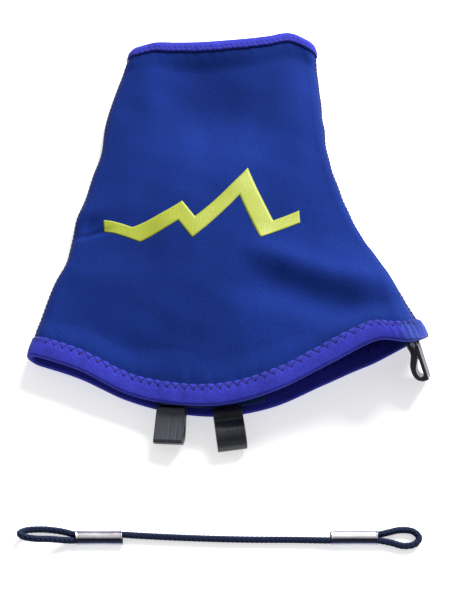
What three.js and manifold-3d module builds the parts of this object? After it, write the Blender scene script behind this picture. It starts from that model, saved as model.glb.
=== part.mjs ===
// Low trail running gaiter, lying on its side with its lateral panel up, and the
// elastic underfoot cord that clips to its lace hooks, laid loose beside it.
//
// Millimetres, +Z up. +Y points to the ankle opening and -Y to the shoe opening,
// -X to the heel and +X to the toes. The origin is the middle of the gaiter's
// footprint, on the surface that it lies on.

import * as THREE from 'three';
import Module from 'manifold-3d';

const wasm = await Module();
wasm.setup();

// ------------------------------------------------------------------ shell sizes

const HEM_WIDTH = 178.6; // heel fold to front fold, at the shoe opening
const TOP_WIDTH = 91; // heel fold to front fold, at the ankle opening
const SIDE_LENGTH = 168.8; // shoe opening to ankle opening, along the heel
const TOP_INSET = 42; // ankle opening's heel corner, forward of the hem's
const HEM_BOW = 29; // how far the hem dips below its two corners
const HEM_RISE = 5.4; // hem's front corner, above its heel corner
const TOP_BOW = 5.4; // how far the ankle opening rises above its corners
const TOP_RISE = 3; // ankle opening's front corner, above its heel corner
const FRONT_LEAN_X = 8; // lower layer's front hem corner, ahead of the upper one
const FRONT_LEAN_Y = 15; // the same corner, set back from the upper one
const FRONT_LEAN_START = 0.86; // share of the width where both set in
const FRONT_FOLD_RADIUS = 5; // corners of the fold that the front hook spreads
const HEEL_FOLD_RADIUS = 5;

const SHELL = 0.8; // softshell cloth
const BINDING = 0.7; // one leg of the folded elastic
const BINDING_BEVEL = 1.2; // length of its rounding at each edge
const BINDING_THINNING = 0.15; // of a leg, at its sewn edge
const HEM_BINDING_WIDTH = 10.2;
const TOP_BINDING_WIDTH = 4.8;
const GAP = 0.3; // clearance between sewn pieces

// Shapes of the edges, as shares of the sizes above, at equal steps from the
// hem to the ankle opening, or from the heel to the front.
const HEEL_PROFILE = [0, 0.2, 0.45, 0.62, 0.77, 1];
const FRONT_PROFILE = [0, 0.29, 0.655, 0.875, 0.95, 1];
const HEM_PROFILE = [0, 0.29, 0.69, 0.93, 1, 0.86, 0.52, 0.19, 0];
const TOP_PROFILE = [0, 0.42, 0.2, 0.1, 0.2, 0.35, 0.65, 1, 0];

// Height of the upper layer over the lower one, from the heel to the front.
const HEM_LIFT = [10, 10, 8, 10.5, 13.5, 18, 21, 25.5, 29.2];
const BODY_LIFT = [8, 11, 13, 15, 16, 16, 15, 14, 12];
const TOP_LIFT = [9, 10.5, 11.5, 12, 12, 12, 11.5, 11, 9.5];
const HEM_LIFT_END = 0.36; // share of the length over which the hem's shape fades
const TOP_LIFT_START = 0.6;

// ----------------------------------------------------------------- sewing sizes

const THREAD = 0.25; // half the thickness of a stitching thread
const ZIGZAG_THREAD = 0.4; // half its width across the row
const HEM_STITCH = { from: 7.4, to: 9.7, pitch: 3.6 };
const TOP_STITCH = { from: 2.6, to: 4.3, pitch: 2.6 };
const SEAM_STITCH = { reach: 1, pitch: 4, rise: 0.15 };

const PRINT_FILM = 0.15;
const PRINT_STROKE = 6.5; // width of the ridge line's stroke
const PRINT_LEAN = 0.26; // forward slant, run over rise
const PRINT_CENTRE = { heelToFront: 0.5, hemToTop: 0.485 };
// Ridge line from its heel end to its front end, about the print's centre.
const PRINT_RIDGE = [[-36, -14], [-24, -14], [-12, 3], [-5, -6], [8, 16], [23, -14], [35, -14]];

// ----------------------------------------------------------------- hook station

const HOOK_WIDTH = 13.2;
const HOOK_LENGTH = 19.6; // hinge bar to the end of the U bend
const PLATE = 1.6; // thickness of the hook's plate
const BAR = 1.1; // square hinge bar across the top of the plate
const BAR_CLEARANCE = 0.2;
const TAPE = 0.6; // tape wall round the hinge bar
const TAB_WIDTH = 10;
const TAB_LEG = 1; // both plies of the tape, above the eye
const TAB_REACH = 8.8; // how far the tape runs up inside the hem
const HINGE_INSET = 2.2; // hinge bar, in from the hem's edge
const SLOT_LENGTH = 2.25;
const SLOT_SIDE_CLEARANCE = 0.4;
const PATCH = 0.6;
const PATCH_FROM = 4.5;
const PATCH_TO = 15.5;
const BARTACK = { width: 9, length: 1.4, height: 0.4, from: 6.6 };

// Where each hook hangs: the layer, its place from heel to front, its turn in
// the plane of the cloth and its droop from that plane, towards the foot. patch
// is the width of the reinforcement behind it.
const STATIONS = [
  { name: 'lateral', side: 1, across: 0.396, turn: 5, droop: 4, patch: 35 },
  { name: 'medial', side: -1, across: 0.503, turn: -3, droop: -9, patch: 35 },
  { name: 'front', side: 1, across: 0.9999, turn: 6, droop: 12, patch: 18 },
];

// ------------------------------------------------------------------- cord sizes

const CORD = 2.5; // elastic cord's diameter
const CORD_SIDES = 8;
const CORD_STEPS = 80;
const STRAND = CORD / 2 + 0.07; // each strand's distance from a ferrule's axis
const FERRULE_WALL = 0.35;
const FERRULE_PLAY = 0.18;
const FERRULE_LENGTH = 20;
const IN_TUBE = FERRULE_WALL + FERRULE_PLAY; // cord's height over the ground there
const CORD_Y = -149.7;

// Route of the cord: stub, left loop, middle, right loop, stub. Each point is x,
// y from the cord's line, and the height of the cord's underside.
const CORD_ROUTE = [
  [-46.2, -STRAND, IN_TUBE], [-56.5, -STRAND, IN_TUBE], [-66.6, -STRAND, IN_TUBE],
  [-71.5, -1.5, 1.55], [-77.5, -1.6, 3.35], [-84, -1.8, 4.55], [-89, -0.7, 4.15],
  [-90.8, 1.2, 2.65], [-88.6, 3.0, 1.05], [-81.5, 3.8, 0.25], [-73, 2.9, 0.25],
  [-66.6, STRAND, IN_TUBE], [-56.5, STRAND, IN_TUBE], [-46.4, STRAND, IN_TUBE],
  [-40, 1, 0.25], [-26, 0.3, 0.15], [-8, -0.4, 0.15], [10, -0.8, 0.15],
  [28, -0.9, 0.15], [38, -1.1, 0.25], [44.4, -STRAND, IN_TUBE],
  [54.5, -STRAND, IN_TUBE], [64.6, -STRAND, IN_TUBE], [70, -2.2, 0.35],
  [76, -3.7, 0.25], [80.8, -2.7, 0.25], [82.6, 0, 0.25], [80.2, 2.8, 0.25],
  [74.5, 3.5, 0.25], [69, 2.3, 0.35], [64.6, STRAND, IN_TUBE],
  [54.5, STRAND, IN_TUBE], [44, STRAND, IN_TUBE],
];
const FERRULES = [
  { name: 'cord_ferrule_left', x: -56.5 },
  { name: 'cord_ferrule_right', x: 54.5 },
];

// ------------------------------------------------------------------- mesh steps

const ACROSS_STEPS = 28; // of one layer, heel fold to front fold
const OPEN_ROWS = 10; // rows of the cloth between its two bindings
const FOLD_SHARE = 1 / 7; // of a layer's steps, spent on each fold
const TINY = 1e-3;

// -------------------------------------------------------------------- materials

const finish = (color, roughness, metalness = 0) => (
  new THREE.MeshStandardMaterial({ color, roughness, metalness })
);
const SOFTSHELL = finish(0x1d3686, 0.8);
const ELASTIC = finish(0x343abb, 0.85);
const BINDING_THREAD = finish(0x4148c8, 0.7);
const SEAM_THREAD = finish(0x2a2f6e, 0.7);
const LIME_FILM = finish(0xc8d640, 0.5);
const NAVY_TAPE = finish(0x202d69, 0.85);
const PALE_THREAD = finish(0xb9bdc9, 0.7);
const HOOK_PLASTIC = finish(0x25282f, 0.45);
const CORD_BRAID = finish(0x1f2c4e, 0.85);
const FERRULE_METAL = finish(0xc9cace, 0.25, 1);

// ---------------------------------------------------------------- small helpers

const lerp = THREE.MathUtils.lerp;
const ease = THREE.MathUtils.smoothstep;
const radians = THREE.MathUtils.degToRad;
const vec = (x, y, z = 0) => new THREE.Vector3(x, y, z);

// Smooth curve through equally spaced values, at t from 0 to 1.
function through(values, t) {
  const last = values.length - 1;
  const at = Math.min(Math.max(t, 0), 1) * last;
  const i = Math.min(Math.floor(at), last - 1);
  const f = at - i;
  const p1 = values[i];
  const p2 = values[i + 1];
  const p0 = i > 0 ? values[i - 1] : 2 * p1 - p2;
  const p3 = i + 2 <= last ? values[i + 2] : 2 * p2 - p1;
  const slope1 = (p2 - p0) / 2;
  const slope2 = (p3 - p1) / 2;
  const curve = 2 * (p1 - p2) + slope1 + slope2;
  return ((curve * f + 3 * (p2 - p1) - 2 * slope1 - slope2) * f + slope1) * f + p1;
}

// Closed solid from rings of points with the same count. A ring's k-th point
// faces its k-th from last, which closes the two ends with a strip each.
function loft(rings, closed) {
  const count = rings[0].length;
  const positions = rings.flat().flatMap((p) => [p.x, p.y, p.z]);
  const index = [];
  const quad = (a, b, c, d) => index.push(a, b, c, a, c, d);
  const spans = closed ? rings.length : rings.length - 1;
  for (let i = 0; i < spans; i += 1) {
    const here = i * count;
    const next = ((i + 1) % rings.length) * count;
    for (let k = 0; k < count; k += 1) {
      const k2 = (k + 1) % count;
      quad(here + k, here + k2, next + k2, next + k);
    }
  }
  if (!closed) {
    const end = (rings.length - 1) * count;
    for (let k = 0; k < count / 2 - 1; k += 1) {
      quad(k, count - 1 - k, count - 2 - k, k + 1);
      quad(end + k, end + k + 1, end + count - 2 - k, end + count - 1 - k);
    }
  }
  if (signedVolume(positions, index) < 0) {
    index.reverse();
  }
  const geometry = new THREE.BufferGeometry();
  geometry.setAttribute('position', new THREE.Float32BufferAttribute(positions, 3));
  geometry.setIndex(index);
  geometry.computeVertexNormals();
  return geometry;
}

function signedVolume(positions, index) {
  const corner = (i) => vec(positions[3 * i], positions[3 * i + 1], positions[3 * i + 2]);
  let sum = 0;
  for (let i = 0; i < index.length; i += 3) {
    const [a, b, c] = [corner(index[i]), corner(index[i + 1]), corner(index[i + 2])];
    sum += a.dot(b.cross(c)) / 6;
  }
  return sum;
}

// ------------------------------------------------------------- shape of the cloth

function heelEdge(v) {
  return vec(TOP_INSET * through(HEEL_PROFILE, v), SIDE_LENGTH * v);
}

function frontEdge(v) {
  const x = lerp(HEM_WIDTH, TOP_INSET + TOP_WIDTH, through(FRONT_PROFILE, v));
  return vec(x, lerp(HEM_RISE, SIDE_LENGTH + TOP_RISE, v));
}

function hemEdge(s) {
  return vec(HEM_WIDTH * s, HEM_RISE * s - HEM_BOW * through(HEM_PROFILE, s));
}

function topEdge(s) {
  const y = SIDE_LENGTH + TOP_RISE * s + TOP_BOW * through(TOP_PROFILE, s);
  return vec(TOP_INSET + TOP_WIDTH * s, y);
}

// Plan of the flattened tube: a patch between its four edges. s runs from the
// heel to the front and v from the hem to the ankle opening.
function plan(s, v) {
  const across = hemEdge(s).lerp(topEdge(s), v);
  const along = heelEdge(v).lerp(frontEdge(v), s);
  const corners = hemEdge(0).lerp(hemEdge(1), s).lerp(topEdge(0).lerp(topEdge(1), s), v);
  return across.add(along).sub(corners);
}

// Length of the cloth from the hem to the ankle opening.
function rowLength(u) {
  return hemEdge(u).distanceTo(topEdge(u));
}

// Distance between the middles of the two layers.
function lift(t, v) {
  const hem = through(HEM_LIFT, t);
  const body = through(BODY_LIFT, t);
  const top = through(TOP_LIFT, t);
  const lower = lerp(hem, body, ease(v, 0, HEM_LIFT_END));
  return lerp(lower, top, ease(v, TOP_LIFT_START, 1));
}

// Middle of the lower layer. It rests on its cloth, and rises at both bindings
// so that their stitches clear the ground.
function groundHeight(v) {
  const atBinding = SHELL / 2 + BINDING + GAP * 2 + THREAD * 2;
  const fromHem = v * SIDE_LENGTH;
  const fromTop = (1 - v) * SIDE_LENGTH;
  const hem = 1 - ease(fromHem, HEM_BINDING_WIDTH, HEM_BINDING_WIDTH * 2);
  const top = 1 - ease(fromTop, TOP_BINDING_WIDTH, TOP_BINDING_WIDTH * 3);
  return lerp(SHELL / 2, atBinding, Math.max(hem, top));
}

// A fold's outline, from its tip at 0 to where it meets the flat layer at 1:
// an upright stretch and then a quarter turn.
function fold(height, radius, share) {
  const r = Math.min(radius, height / 2);
  const upright = height / 2 - r;
  const walked = share * (upright + r * Math.PI / 2);
  if (walked < upright) {
    return { run: 0, rise: walked };
  }
  const turn = (walked - upright) / r;
  return { run: r * (1 - Math.cos(turn)), rise: upright + r * Math.sin(turn) };
}

// Point in the middle of the cloth. side is 1 for the upper, lateral layer and
// -1 for the lower, medial one; u runs from the heel fold's tip to the front's.
function clothPoint(side, u, v) {
  const width = heelEdge(v).distanceTo(frontEdge(v));
  const heelLift = lift(0, v);
  const frontLift = lift(1, v);
  const ground = groundHeight(v);
  let s;
  let z;
  if (u < FOLD_SHARE) {
    const { run, rise } = fold(heelLift, HEEL_FOLD_RADIUS, u / FOLD_SHARE);
    s = run / width;
    z = ground + heelLift / 2 + side * rise;
  } else if (u > 1 - FOLD_SHARE) {
    const { run, rise } = fold(frontLift, FRONT_FOLD_RADIUS, (1 - u) / FOLD_SHARE);
    s = 1 - run / width;
    z = ground + frontLift / 2 + side * rise;
  } else {
    const t = (u - FOLD_SHARE) / (1 - 2 * FOLD_SHARE);
    const heelRun = fold(heelLift, HEEL_FOLD_RADIUS, 1).run;
    const frontRun = fold(frontLift, FRONT_FOLD_RADIUS, 1).run;
    s = lerp(heelRun / width, 1 - frontRun / width, t);
    z = ground + (side > 0 ? lift(t, v) : 0);
  }
  const point = plan(s, v);
  const lean = (0.5 - (z - ground) / lift(s, v)) * ease(s, FRONT_LEAN_START, 1) * (1 - ease(v, 0, 0.3));
  return vec(point.x + FRONT_LEAN_X * lean, point.y + FRONT_LEAN_Y * lean, z);
}

// Outward normal of the cloth, and its directions across and along.
function clothFrame(side, u, v) {
  const u0 = Math.max(u - TINY, 0);
  const v0 = Math.max(v - TINY, 0);
  const across = clothPoint(side, Math.min(u0 + 2 * TINY, 1), v);
  across.sub(clothPoint(side, Math.min(u0, 1 - 2 * TINY), v)).normalize();
  const along = clothPoint(side, u, Math.min(v0 + 2 * TINY, 1));
  along.sub(clothPoint(side, u, Math.min(v0, 1 - 2 * TINY))).normalize();
  const normal = across.clone().cross(along).multiplyScalar(side).normalize();
  return { normal, across, along };
}

// Point at height n over the cloth's middle, outwards.
function overCloth(side, u, v, n) {
  return clothPoint(side, u, v).addScaledVector(clothFrame(side, u, v).normal, n);
}

// The same, at a place round the whole tube: 0 and 1 at the heel fold, 0.5 at
// the front, the upper layer first. a is the distance in from the hem or top.
function roundTube(place, edge, a, n) {
  const turn = place - Math.floor(place);
  const side = turn <= 0.5 ? 1 : -1;
  const u = turn <= 0.5 ? 2 * turn : 2 - 2 * turn;
  const share = a / rowLength(u);
  return overCloth(side, u, edge === 'hem' ? share : 1 - share, n);
}

// ----------------------------------------------------------------- shell pieces

const BINDING_INSIDE = SHELL / 2 + GAP;
const BINDING_OUTSIDE = BINDING_INSIDE + BINDING;
const PANEL_START = BINDING + GAP; // the cloth stops inside the binding's fold

// Rows of the cloth from the hem to the ankle opening, close at the bindings.
function panelRows(u) {
  const length = rowLength(u);
  const hemRows = [PANEL_START, ...[1, 1.5, 2].map((k) => k * HEM_BINDING_WIDTH)];
  const topRows = [...[3, 2, 1].map((k) => k * TOP_BINDING_WIDTH), PANEL_START];
  const start = hemRows.at(-1) / length;
  const end = 1 - topRows[0] / length;
  const open = [];
  for (let j = 1; j < OPEN_ROWS; j += 1) {
    open.push(lerp(start, end, j / OPEN_ROWS));
  }
  return [...hemRows.map((a) => a / length), ...open, ...topRows.map((a) => 1 - a / length)];
}

// One layer of cloth between its two seams.
function panel(side) {
  const rings = [];
  for (let i = 0; i <= ACROSS_STEPS; i += 1) {
    const nominal = i / ACROSS_STEPS;
    const row = (n) => panelRows(nominal).map((v) => (
      overCloth(side, trimmedAtSeams(nominal, v), v, n)
    ));
    rings.push([...row(SHELL / 2), ...row(-SHELL / 2).reverse()]);
  }
  return loft(rings, false);
}

// Half a seam's gap off the first and last place of a layer.
function trimmedAtSeams(u, v) {
  const heelWalk = Math.PI / 2 * Math.min(HEEL_FOLD_RADIUS, lift(0, v) / 2);
  const frontWalk = lift(1, v) / 2 + FRONT_FOLD_RADIUS * (Math.PI / 2 - 1);
  const heelTrim = FOLD_SHARE * GAP / 2 / heelWalk;
  const frontTrim = FOLD_SHARE * GAP / 2 / frontWalk;
  return Math.min(Math.max(u, heelTrim), 1 - frontTrim);
}

// Folded elastic round an opening: a U section with its legs on both faces.
function binding(edge, width) {
  const half = [
    [width, BINDING_INSIDE], [width, BINDING_OUTSIDE - BINDING_THINNING],
    [width - BINDING_BEVEL, BINDING_OUTSIDE], [BINDING_BEVEL, BINDING_OUTSIDE],
    [0, BINDING_OUTSIDE / 2],
  ];
  const mirrored = half.map(([a, n]) => [a, -n]).reverse();
  const pocket = [[BINDING, -BINDING_INSIDE], [BINDING, BINDING_INSIDE]];
  const section = [...half, ...mirrored, ...pocket];
  const rings = [];
  for (let i = 0; i < 2 * ACROSS_STEPS; i += 1) {
    const place = i / (2 * ACROSS_STEPS);
    rings.push(section.map(([a, n]) => roundTube(place, edge, a, n)));
  }
  return loft(rings, true);
}

// Square section of thread, set by the cloth's normal and a direction across.
function threadRing(centre, normal, across) {
  const corner = (i, j) => (
    centre.clone().addScaledVector(normal, i * THREAD).addScaledVector(across, j * ZIGZAG_THREAD)
  );
  return [corner(1, -1), corner(1, 1), corner(-1, 1), corner(-1, -1)];
}

// Zigzag row round an opening, on the outer leg of its binding.
function zigzagRound(edge, { from, to, pitch }) {
  let perimeter = 0;
  const walk = 400;
  for (let i = 0; i < walk; i += 1) {
    const here = roundTube(i / walk, edge, from, 0);
    perimeter += here.distanceTo(roundTube((i + 1) / walk, edge, from, 0));
  }
  const turns = Math.round(perimeter / pitch);
  const n = BINDING_OUTSIDE + GAP + THREAD;
  const rings = [];
  for (let i = 0; i < 2 * turns; i += 1) {
    const place = i / (2 * turns);
    const a = i % 2 ? from : to;
    const centre = roundTube(place, edge, a, n);
    const across = roundTube(place, edge, a + 1, n).sub(centre).normalize();
    const normal = roundTube(place, edge, a, n + 1).sub(centre).normalize();
    rings.push(threadRing(centre, normal, across));
  }
  return loft(rings, true);
}

// Stitches over the seam along a fold, from binding to binding.
function seamThread(u) {
  const start = HEM_BINDING_WIDTH + 4 * GAP;
  const length = rowLength(u) - start - TOP_BINDING_WIDTH - 2 * GAP;
  const stitches = Math.round(length / SEAM_STITCH.pitch);
  const n = SHELL / 2 + GAP + SEAM_STITCH.rise + THREAD;
  const rings = [];
  for (let i = 0; i <= 2 * stitches; i += 1) {
    const v = (start + length * i / (2 * stitches)) / rowLength(u);
    const side = i % 2 ? 1 : -1;
    const tip = clothPoint(side, u, v);
    const { normal, along } = clothFrame(1, u, v);
    const round = normal.clone().cross(along);
    const up = round.z > 0 ? round : round.negate();
    const centre = tip.addScaledVector(normal, n).addScaledVector(up, side * SEAM_STITCH.reach);
    rings.push(threadRing(centre, normal, up));
  }
  return loft(rings, false);
}

// Heat-transfer film on the lateral panel: one zigzag ridge line.
function sidePrint() {
  const corners = PRINT_RIDGE.map(([x, y]) => new THREE.Vector2(x + PRINT_LEAN * y, y));
  const spots = [];
  for (let i = 0; i < corners.length; i += 1) {
    const before = corners[Math.max(i - 1, 0)];
    const after = corners[Math.min(i + 1, corners.length - 1)];
    const incoming = corners[i].clone().sub(before).normalize();
    const outgoing = after.clone().sub(corners[i]).normalize();
    const way = incoming.clone().add(outgoing).normalize();
    const half = PRINT_STROKE / 2 / way.dot(incoming.lengthSq() ? incoming : outgoing);
    const offset = new THREE.Vector2(-way.y, way.x).multiplyScalar(half);
    spots.push([corners[i].clone().add(offset), corners[i].clone().sub(offset)]);
  }
  const steps = 6;
  const rings = [];
  for (let i = 0; i + 1 < spots.length; i += 1) {
    for (let k = i ? 1 : 0; k <= steps; k += 1) {
      const left = spots[i][0].clone().lerp(spots[i + 1][0], k / steps);
      const right = spots[i][1].clone().lerp(spots[i + 1][1], k / steps);
      const middle = left.clone().lerp(right, 0.5);
      const low = SHELL / 2 + GAP;
      const high = low + PRINT_FILM;
      const row = [left, middle, right];
      rings.push([
        ...row.map((p) => printPoint(p, high)),
        ...row.reverse().map((p) => printPoint(p, low)),
      ]);
    }
  }
  return loft(rings, false);
}

// Place on the lateral panel of a point of the print's flat drawing.
function printPoint({ x, y }, n) {
  const v = PRINT_CENTRE.hemToTop + y / rowLength(0.5);
  const width = heelEdge(v).distanceTo(frontEdge(v));
  return overCloth(1, PRINT_CENTRE.heelToFront + x / width, v, n);
}

// --------------------------------------------------------------- hook stations

const EYE_INNER = BAR * Math.SQRT1_2 + BAR_CLEARANCE;
const EYE_OUTER = EYE_INNER + TAPE;
const TAPE_DEPTH = BINDING_OUTSIDE + GAP; // tape's outer face, under the cloth
const HINGE_DEPTH = TAPE_DEPTH + EYE_OUTER;
const PATCH_DEPTH = TAPE_DEPTH + TAB_LEG + GAP;

// Frame at a station's hinge bar: x out of the hem, y towards the foot and z
// along the bar.
function stationFrame({ side, across, turn }) {
  const v = HINGE_INSET / rowLength(across);
  const { normal, across: way, along } = clothFrame(side, across, v);
  const bar = way.clone().addScaledVector(normal, -way.dot(normal)).normalize();
  const out = bar.clone().cross(normal).normalize();
  if (out.dot(along) > 0) {
    out.negate();
  }
  out.applyAxisAngle(normal, radians(turn));
  const inward = normal.clone().negate();
  const frame = new THREE.Matrix4().makeBasis(out, inward, out.clone().cross(inward));
  return frame.setPosition(overCloth(side, across, v, -HINGE_DEPTH));
}

const extruded = (shape, depth, curveSegments = 6) => (
  new THREE.ExtrudeGeometry(shape, { depth, steps: 1, bevelEnabled: false, curveSegments })
    .translate(0, 0, -depth / 2)
);

// Plate, U bend and sprung return arm of a hook, in the hinge bar's frame.
function hookOutline() {
  const half = PLATE / 2;
  const bar = BAR / 2;
  const end = HOOK_LENGTH;
  const slotEnd = bar + SLOT_LENGTH;
  const shape = new THREE.Shape();
  shape.moveTo(-bar, -bar * 0.45);
  shape.lineTo(-bar * 0.45, -bar);
  shape.lineTo(slotEnd, -bar);
  shape.lineTo(slotEnd + 0.6, -half);
  shape.lineTo(end - 0.6, -half);
  shape.lineTo(end - 0.2, -half + 0.4);
  shape.lineTo(end - 0.2, half);
  shape.splineThru([
    [end - 0.25, 1.9], [end - 1.3, 3.9], [end - 3.2, 5.2], [end - 5.6, 5.65],
    [end - 8.6, 5.4], [end - 11.4, 4.3], [end - 13.4, 3.6], [end - 15.2, 3.7],
    [end - 17, 4.1], [end - 18.6, 3.7], [end - 19.1, 2.9],
  ].map(([x, y]) => new THREE.Vector2(x, y)));
  shape.splineThru([
    [end - 18.7, 2.3], [end - 17.2, 2.1], [end - 15.2, 1.6], [end - 13.2, half + 0.4],
    [end - 11.2, half + 0.45], [end - 9.2, half + 1.4], [end - 7, half + 2.4],
    [end - 4.8, half + 2.8], [end - 3, half + 2.2], [end - 2.3, half + 1.1],
    [end - 2.6, half + 0.3], [end - 3.2, half],
  ].map(([x, y]) => new THREE.Vector2(x, y)));
  shape.lineTo(slotEnd + 0.6, half);
  shape.lineTo(slotEnd, bar);
  shape.lineTo(-bar * 0.45, bar);
  shape.lineTo(-bar, bar * 0.45);
  shape.closePath();
  return shape;
}

// A hook with the slot for its tape cut through the plate.
function hookGeometry() {
  const body = toManifold(extruded(hookOutline(), HOOK_WIDTH, 2));
  const slotWidth = TAB_WIDTH + 2 * SLOT_SIDE_CLEARANCE;
  const slot = new THREE.BoxGeometry(SLOT_LENGTH, 2 * PLATE, slotWidth);
  slot.translate(BAR / 2 + SLOT_LENGTH / 2, 0, 0);
  return toGeometry(body.subtract(toManifold(slot)));
}

// Tape folded round the hinge bar: an eye, and a leg up inside the hem.
function tabGeometry() {
  const shape = new THREE.Shape();
  const root = Math.asin((EYE_OUTER - TAB_LEG) / EYE_OUTER);
  shape.moveTo(0, -EYE_OUTER);
  shape.absarc(0, 0, EYE_OUTER, -Math.PI / 2, Math.PI + root, false);
  shape.lineTo(-TAB_REACH, TAB_LEG - EYE_OUTER);
  shape.lineTo(-TAB_REACH, -EYE_OUTER);
  shape.closePath();
  const eye = new THREE.Path();
  eye.absarc(0, 0, EYE_INNER, 0, 2 * Math.PI, true);
  shape.holes.push(eye);
  return extruded(shape, TAB_WIDTH, 10);
}

// Reinforcement patch over the tape, inside the hem.
function patchGeometry({ side, across, patch }) {
  const steps = 8;
  const reach = patch / 2 / alongTube(side, across);
  const rings = [];
  for (let i = 0; i <= steps; i += 1) {
    const place = placeOf(side, across) + lerp(-reach, reach, i / steps);
    const row = (n) => (
      [0, 1 / 3, 2 / 3, 1].map((t) => roundTube(place, 'hem', lerp(PATCH_FROM, PATCH_TO, t), n))
    );
    rings.push([...row(-PATCH_DEPTH), ...row(-PATCH_DEPTH - PATCH).reverse()]);
  }
  return loft(rings, false);
}

const placeOf = (side, across) => (side > 0 ? across / 2 : 1 - across / 2);

// Millimetres of hem for a whole turn at the pace it has at a station.
function alongTube(side, across) {
  const place = placeOf(side, across);
  const here = roundTube(place - 0.01, 'hem', PATCH_FROM, 0);
  return here.distanceTo(roundTube(place + 0.01, 'hem', PATCH_FROM, 0)) / 0.02;
}

// Bar of close thread that sews tape and patch to the hem.
function bartackGeometry() {
  const { width, length, height, from } = BARTACK;
  const box = new THREE.BoxGeometry(length, height, width, 1, 1, 1);
  const depth = PATCH_DEPTH + PATCH + GAP - HINGE_DEPTH;
  return box.translate(-from, depth + height / 2, 0);
}

// ------------------------------------------------------------------------- cord

const cordCurve = new THREE.CatmullRomCurve3(
  CORD_ROUTE.map(([x, y, height]) => vec(x, CORD_Y + y, CORD / 2 + height)),
  false,
  'centripetal',
);

function cordGeometry() {
  const section = new THREE.Shape();
  for (let i = 0; i < CORD_SIDES; i += 1) {
    const turn = (i + 0.5) * 2 * Math.PI / CORD_SIDES;
    const place = [CORD / 2 * Math.cos(turn), CORD / 2 * Math.sin(turn)];
    section[i ? 'lineTo' : 'moveTo'](...place);
  }
  section.closePath();
  return new THREE.ExtrudeGeometry(section, {
    steps: CORD_STEPS,
    extrudePath: cordCurve,
    bevelEnabled: false,
  });
}

// Crimped metal tube round two strands.
function ferruleGeometry() {
  const stadium = (path, radius, clockwise) => {
    path.absarc(STRAND, 0, radius, -Math.PI / 2, Math.PI / 2, clockwise);
    path.absarc(-STRAND, 0, radius, Math.PI / 2, 3 * Math.PI / 2, clockwise);
    path.closePath();
    return path;
  };
  const inner = CORD / 2 + FERRULE_PLAY;
  const shape = stadium(new THREE.Shape(), inner + FERRULE_WALL, false);
  shape.holes.push(stadium(new THREE.Path(), inner, false));
  return extruded(shape, FERRULE_LENGTH, 8).rotateX(Math.PI / 2).rotateZ(Math.PI / 2);
}

// --------------------------------------------------------------- solids by cuts

function toManifold(geometry) {
  const bare = mergedPositions(geometry);
  const mesh = new wasm.Mesh({
    numProp: 3,
    vertProperties: bare.positions,
    triVerts: bare.index,
  });
  return new wasm.Manifold(mesh);
}

// A geometry's corners with each shared one kept once.
function mergedPositions(geometry) {
  const flat = geometry.index ? geometry.toNonIndexed() : geometry;
  const { array } = flat.getAttribute('position');
  const seen = new Map();
  const positions = [];
  const index = new Uint32Array(array.length / 3);
  for (let i = 0; i < array.length; i += 3) {
    const key = [array[i], array[i + 1], array[i + 2]].map((c) => c.toFixed(4)).join();
    if (!seen.has(key)) {
      seen.set(key, positions.length / 3);
      positions.push(array[i], array[i + 1], array[i + 2]);
    }
    index[i / 3] = seen.get(key);
  }
  return { positions: new Float32Array(positions), index };
}

function toGeometry(solid) {
  const { vertProperties, triVerts } = solid.getMesh();
  const geometry = new THREE.BufferGeometry();
  geometry.setAttribute('position', new THREE.BufferAttribute(vertProperties, 3));
  geometry.setIndex(new THREE.BufferAttribute(triVerts, 1));
  geometry.computeVertexNormals();
  return geometry;
}

// --------------------------------------------------------------------- assembly

function named(name, geometry, material) {
  const mesh = new THREE.Mesh(geometry, material);
  mesh.name = name;
  return mesh;
}

const gaiter = new THREE.Group();
gaiter.add(
  named('lateral_panel', panel(1), SOFTSHELL),
  named('medial_panel', panel(-1), SOFTSHELL),
  named('front_seam_thread', seamThread(1), SEAM_THREAD),
  named('heel_seam_thread', seamThread(0), SEAM_THREAD),
  named('top_binding', binding('top', TOP_BINDING_WIDTH), ELASTIC),
  named('top_binding_thread', zigzagRound('top', TOP_STITCH), BINDING_THREAD),
  named('hem_binding', binding('hem', HEM_BINDING_WIDTH), ELASTIC),
  named('hem_binding_thread', zigzagRound('hem', HEM_STITCH), BINDING_THREAD),
  named('side_print', sidePrint(), LIME_FILM),
);

for (const station of STATIONS) {
  const { name, droop } = station;
  const sewn = new THREE.Group();
  stationFrame(station).decompose(sewn.position, sewn.quaternion, sewn.scale);
  const hook = named(`${name}_hook`, hookGeometry(), HOOK_PLASTIC);
  hook.rotation.z = radians(droop);
  sewn.add(
    named(`${name}_hook_tab`, tabGeometry(), NAVY_TAPE),
    named(`${name}_hook_bartack`, bartackGeometry(), PALE_THREAD),
    hook,
  );
  gaiter.add(sewn, named(`${name}_hook_patch`, patchGeometry(station), NAVY_TAPE));
}

gaiter.updateMatrixWorld(true);
const footprint = new THREE.Box3().setFromObject(gaiter, true);
const middle = footprint.getCenter(vec(0, 0));
gaiter.position.set(-middle.x, -middle.y, -footprint.min.z);

const model = new THREE.Group();
model.add(gaiter, named('underfoot_cord', cordGeometry(), CORD_BRAID));
for (const { name, x } of FERRULES) {
  const ferrule = named(name, ferruleGeometry(), FERRULE_METAL);
  ferrule.position.set(x, CORD_Y, CORD / 2 + IN_TUBE);
  model.add(ferrule);
}

export default model;
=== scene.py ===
import math

import bpy
import numpy as np
from mathutils import Matrix, Vector


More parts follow.
